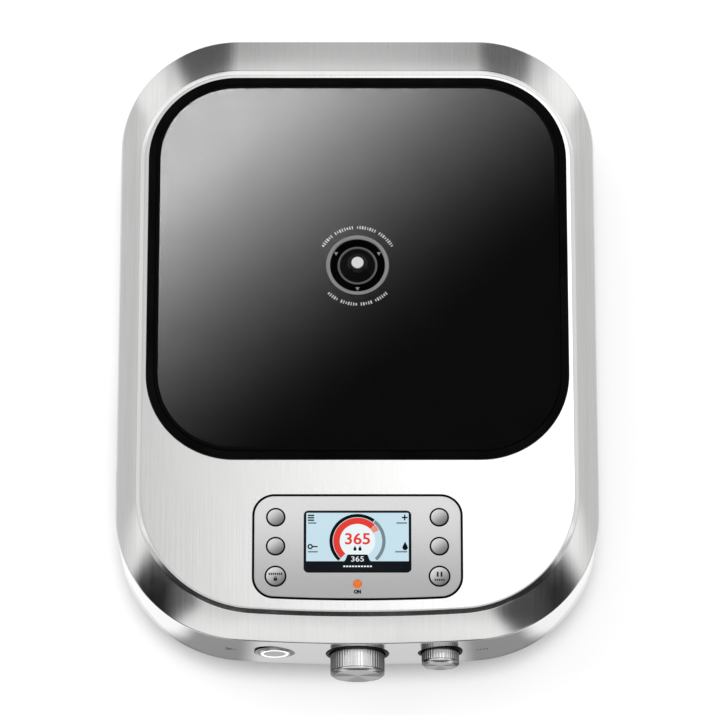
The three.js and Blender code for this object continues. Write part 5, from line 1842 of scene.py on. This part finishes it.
    def cards(self) -> None:
        """Hangs a far graded card that only the glass reflects, and a near one for the body and dials."""
        self.card("glass_card", ("glass_plate",), 3.0, 330, (-1.724, 2.155), 0.305, 2.83, 80.0)
        self.card("body_card", ("steel_body", "temperature_grip", "timer_grip"), 0.6, 370, (2.5, 0.0), 0.5,
                  0.8, 0.49)

    def card(self, name: str, receivers: Sequence[str], distance: float, half: float, slope: Point,
             middle: float, power: float, strength: float) -> None:
        """Hangs one graded card in the way that the camera's view is mirrored.

        Args:
            name: the card's name.
            receivers: the pieces that it shines on.
            distance: distance from the glass, in metres.
            half: half its size, in millimetres.
            slope: how fast it brightens to the right and upwards, per metre.
            middle: its level in the middle.
            power: exponent that the level is raised to.
            strength: brightness where the level is 1.
        """
        mesh = slab([(-half, -half), (half, -half), (half, half), (-half, half)], 0, 1)
        material = bpy.data.materials.new(name)
        material.use_nodes = True
        nodes = material.node_tree.nodes
        nodes.remove(nodes["Principled BSDF"])
        graph = Graph(material.node_tree)
        place = graph.node("SeparateXYZ", None, Vector=graph.node("TexCoord").outputs["Object"])
        across = graph.maths("MULTIPLY", place.outputs["X"], slope[0])
        along = graph.maths("MULTIPLY", place.outputs["Y"], slope[1])
        level = graph.node("Clamp", None, Value=graph.maths("ADD", graph.maths("ADD", across, along), middle),
                           Max=1.1).outputs[0]
        glow = graph.node("Emission", None,
                          Strength=graph.maths("MULTIPLY", graph.maths("POWER", level, power), strength))
        clear = graph.node("BsdfTransparent")
        both = graph.node("AddShader", None, i0=glow.outputs[0], i1=clear.outputs[0])
        graph.put(both.outputs[0], nodes["Material Output"].inputs[0])
        mesh.materials.append(material)
        card = bpy.data.objects.new(name, mesh)
        bpy.context.scene.collection.objects.link(card)
        lean = math.radians(self.tilt)
        centre = Vector((0, GLASS_Y * MM, span("glass_top")[1].z * MM))
        card.location = centre + Vector((0, math.sin(lean), math.cos(lean))) * distance
        card.rotation_euler = (-lean, 0, 0)
        for ray in ("camera", "diffuse", "shadow", "transmission"):
            setattr(card, f"visible_{ray}", False)
        only = bpy.data.collections.new(f"{name}_receiver")
        for receiver in receivers:
            only.objects.link(bpy.data.objects[receiver])
        card.light_linking.receiver_collection = only


def main() -> None:
    """Builds every sub-assembly in order and sets up the studio."""
    logging.basicConfig(level=logging.INFO, format="%(name)s: %(message)s")
    assemblies: list[SubAssembly] = [
        Housing(),
        Plate(),
        PanSensor(),
        ControlPanel(),
        Dial("temperature", 19.5, 22.6, 16.5, 56),
        Dial("timer", 13.5, 15.9, 10.5, 42),
        PowerButton(),
        InductionUnit(),
        Electronics(),
        Cooling(),
        Base(),
    ]
    for assembly in assemblies:
        assembly.build()
        for name in assembly.made:
            log.info("%s: %s", type(assembly).__name__, name)
    Studio().build()


if __name__ == "__main__":
    main()
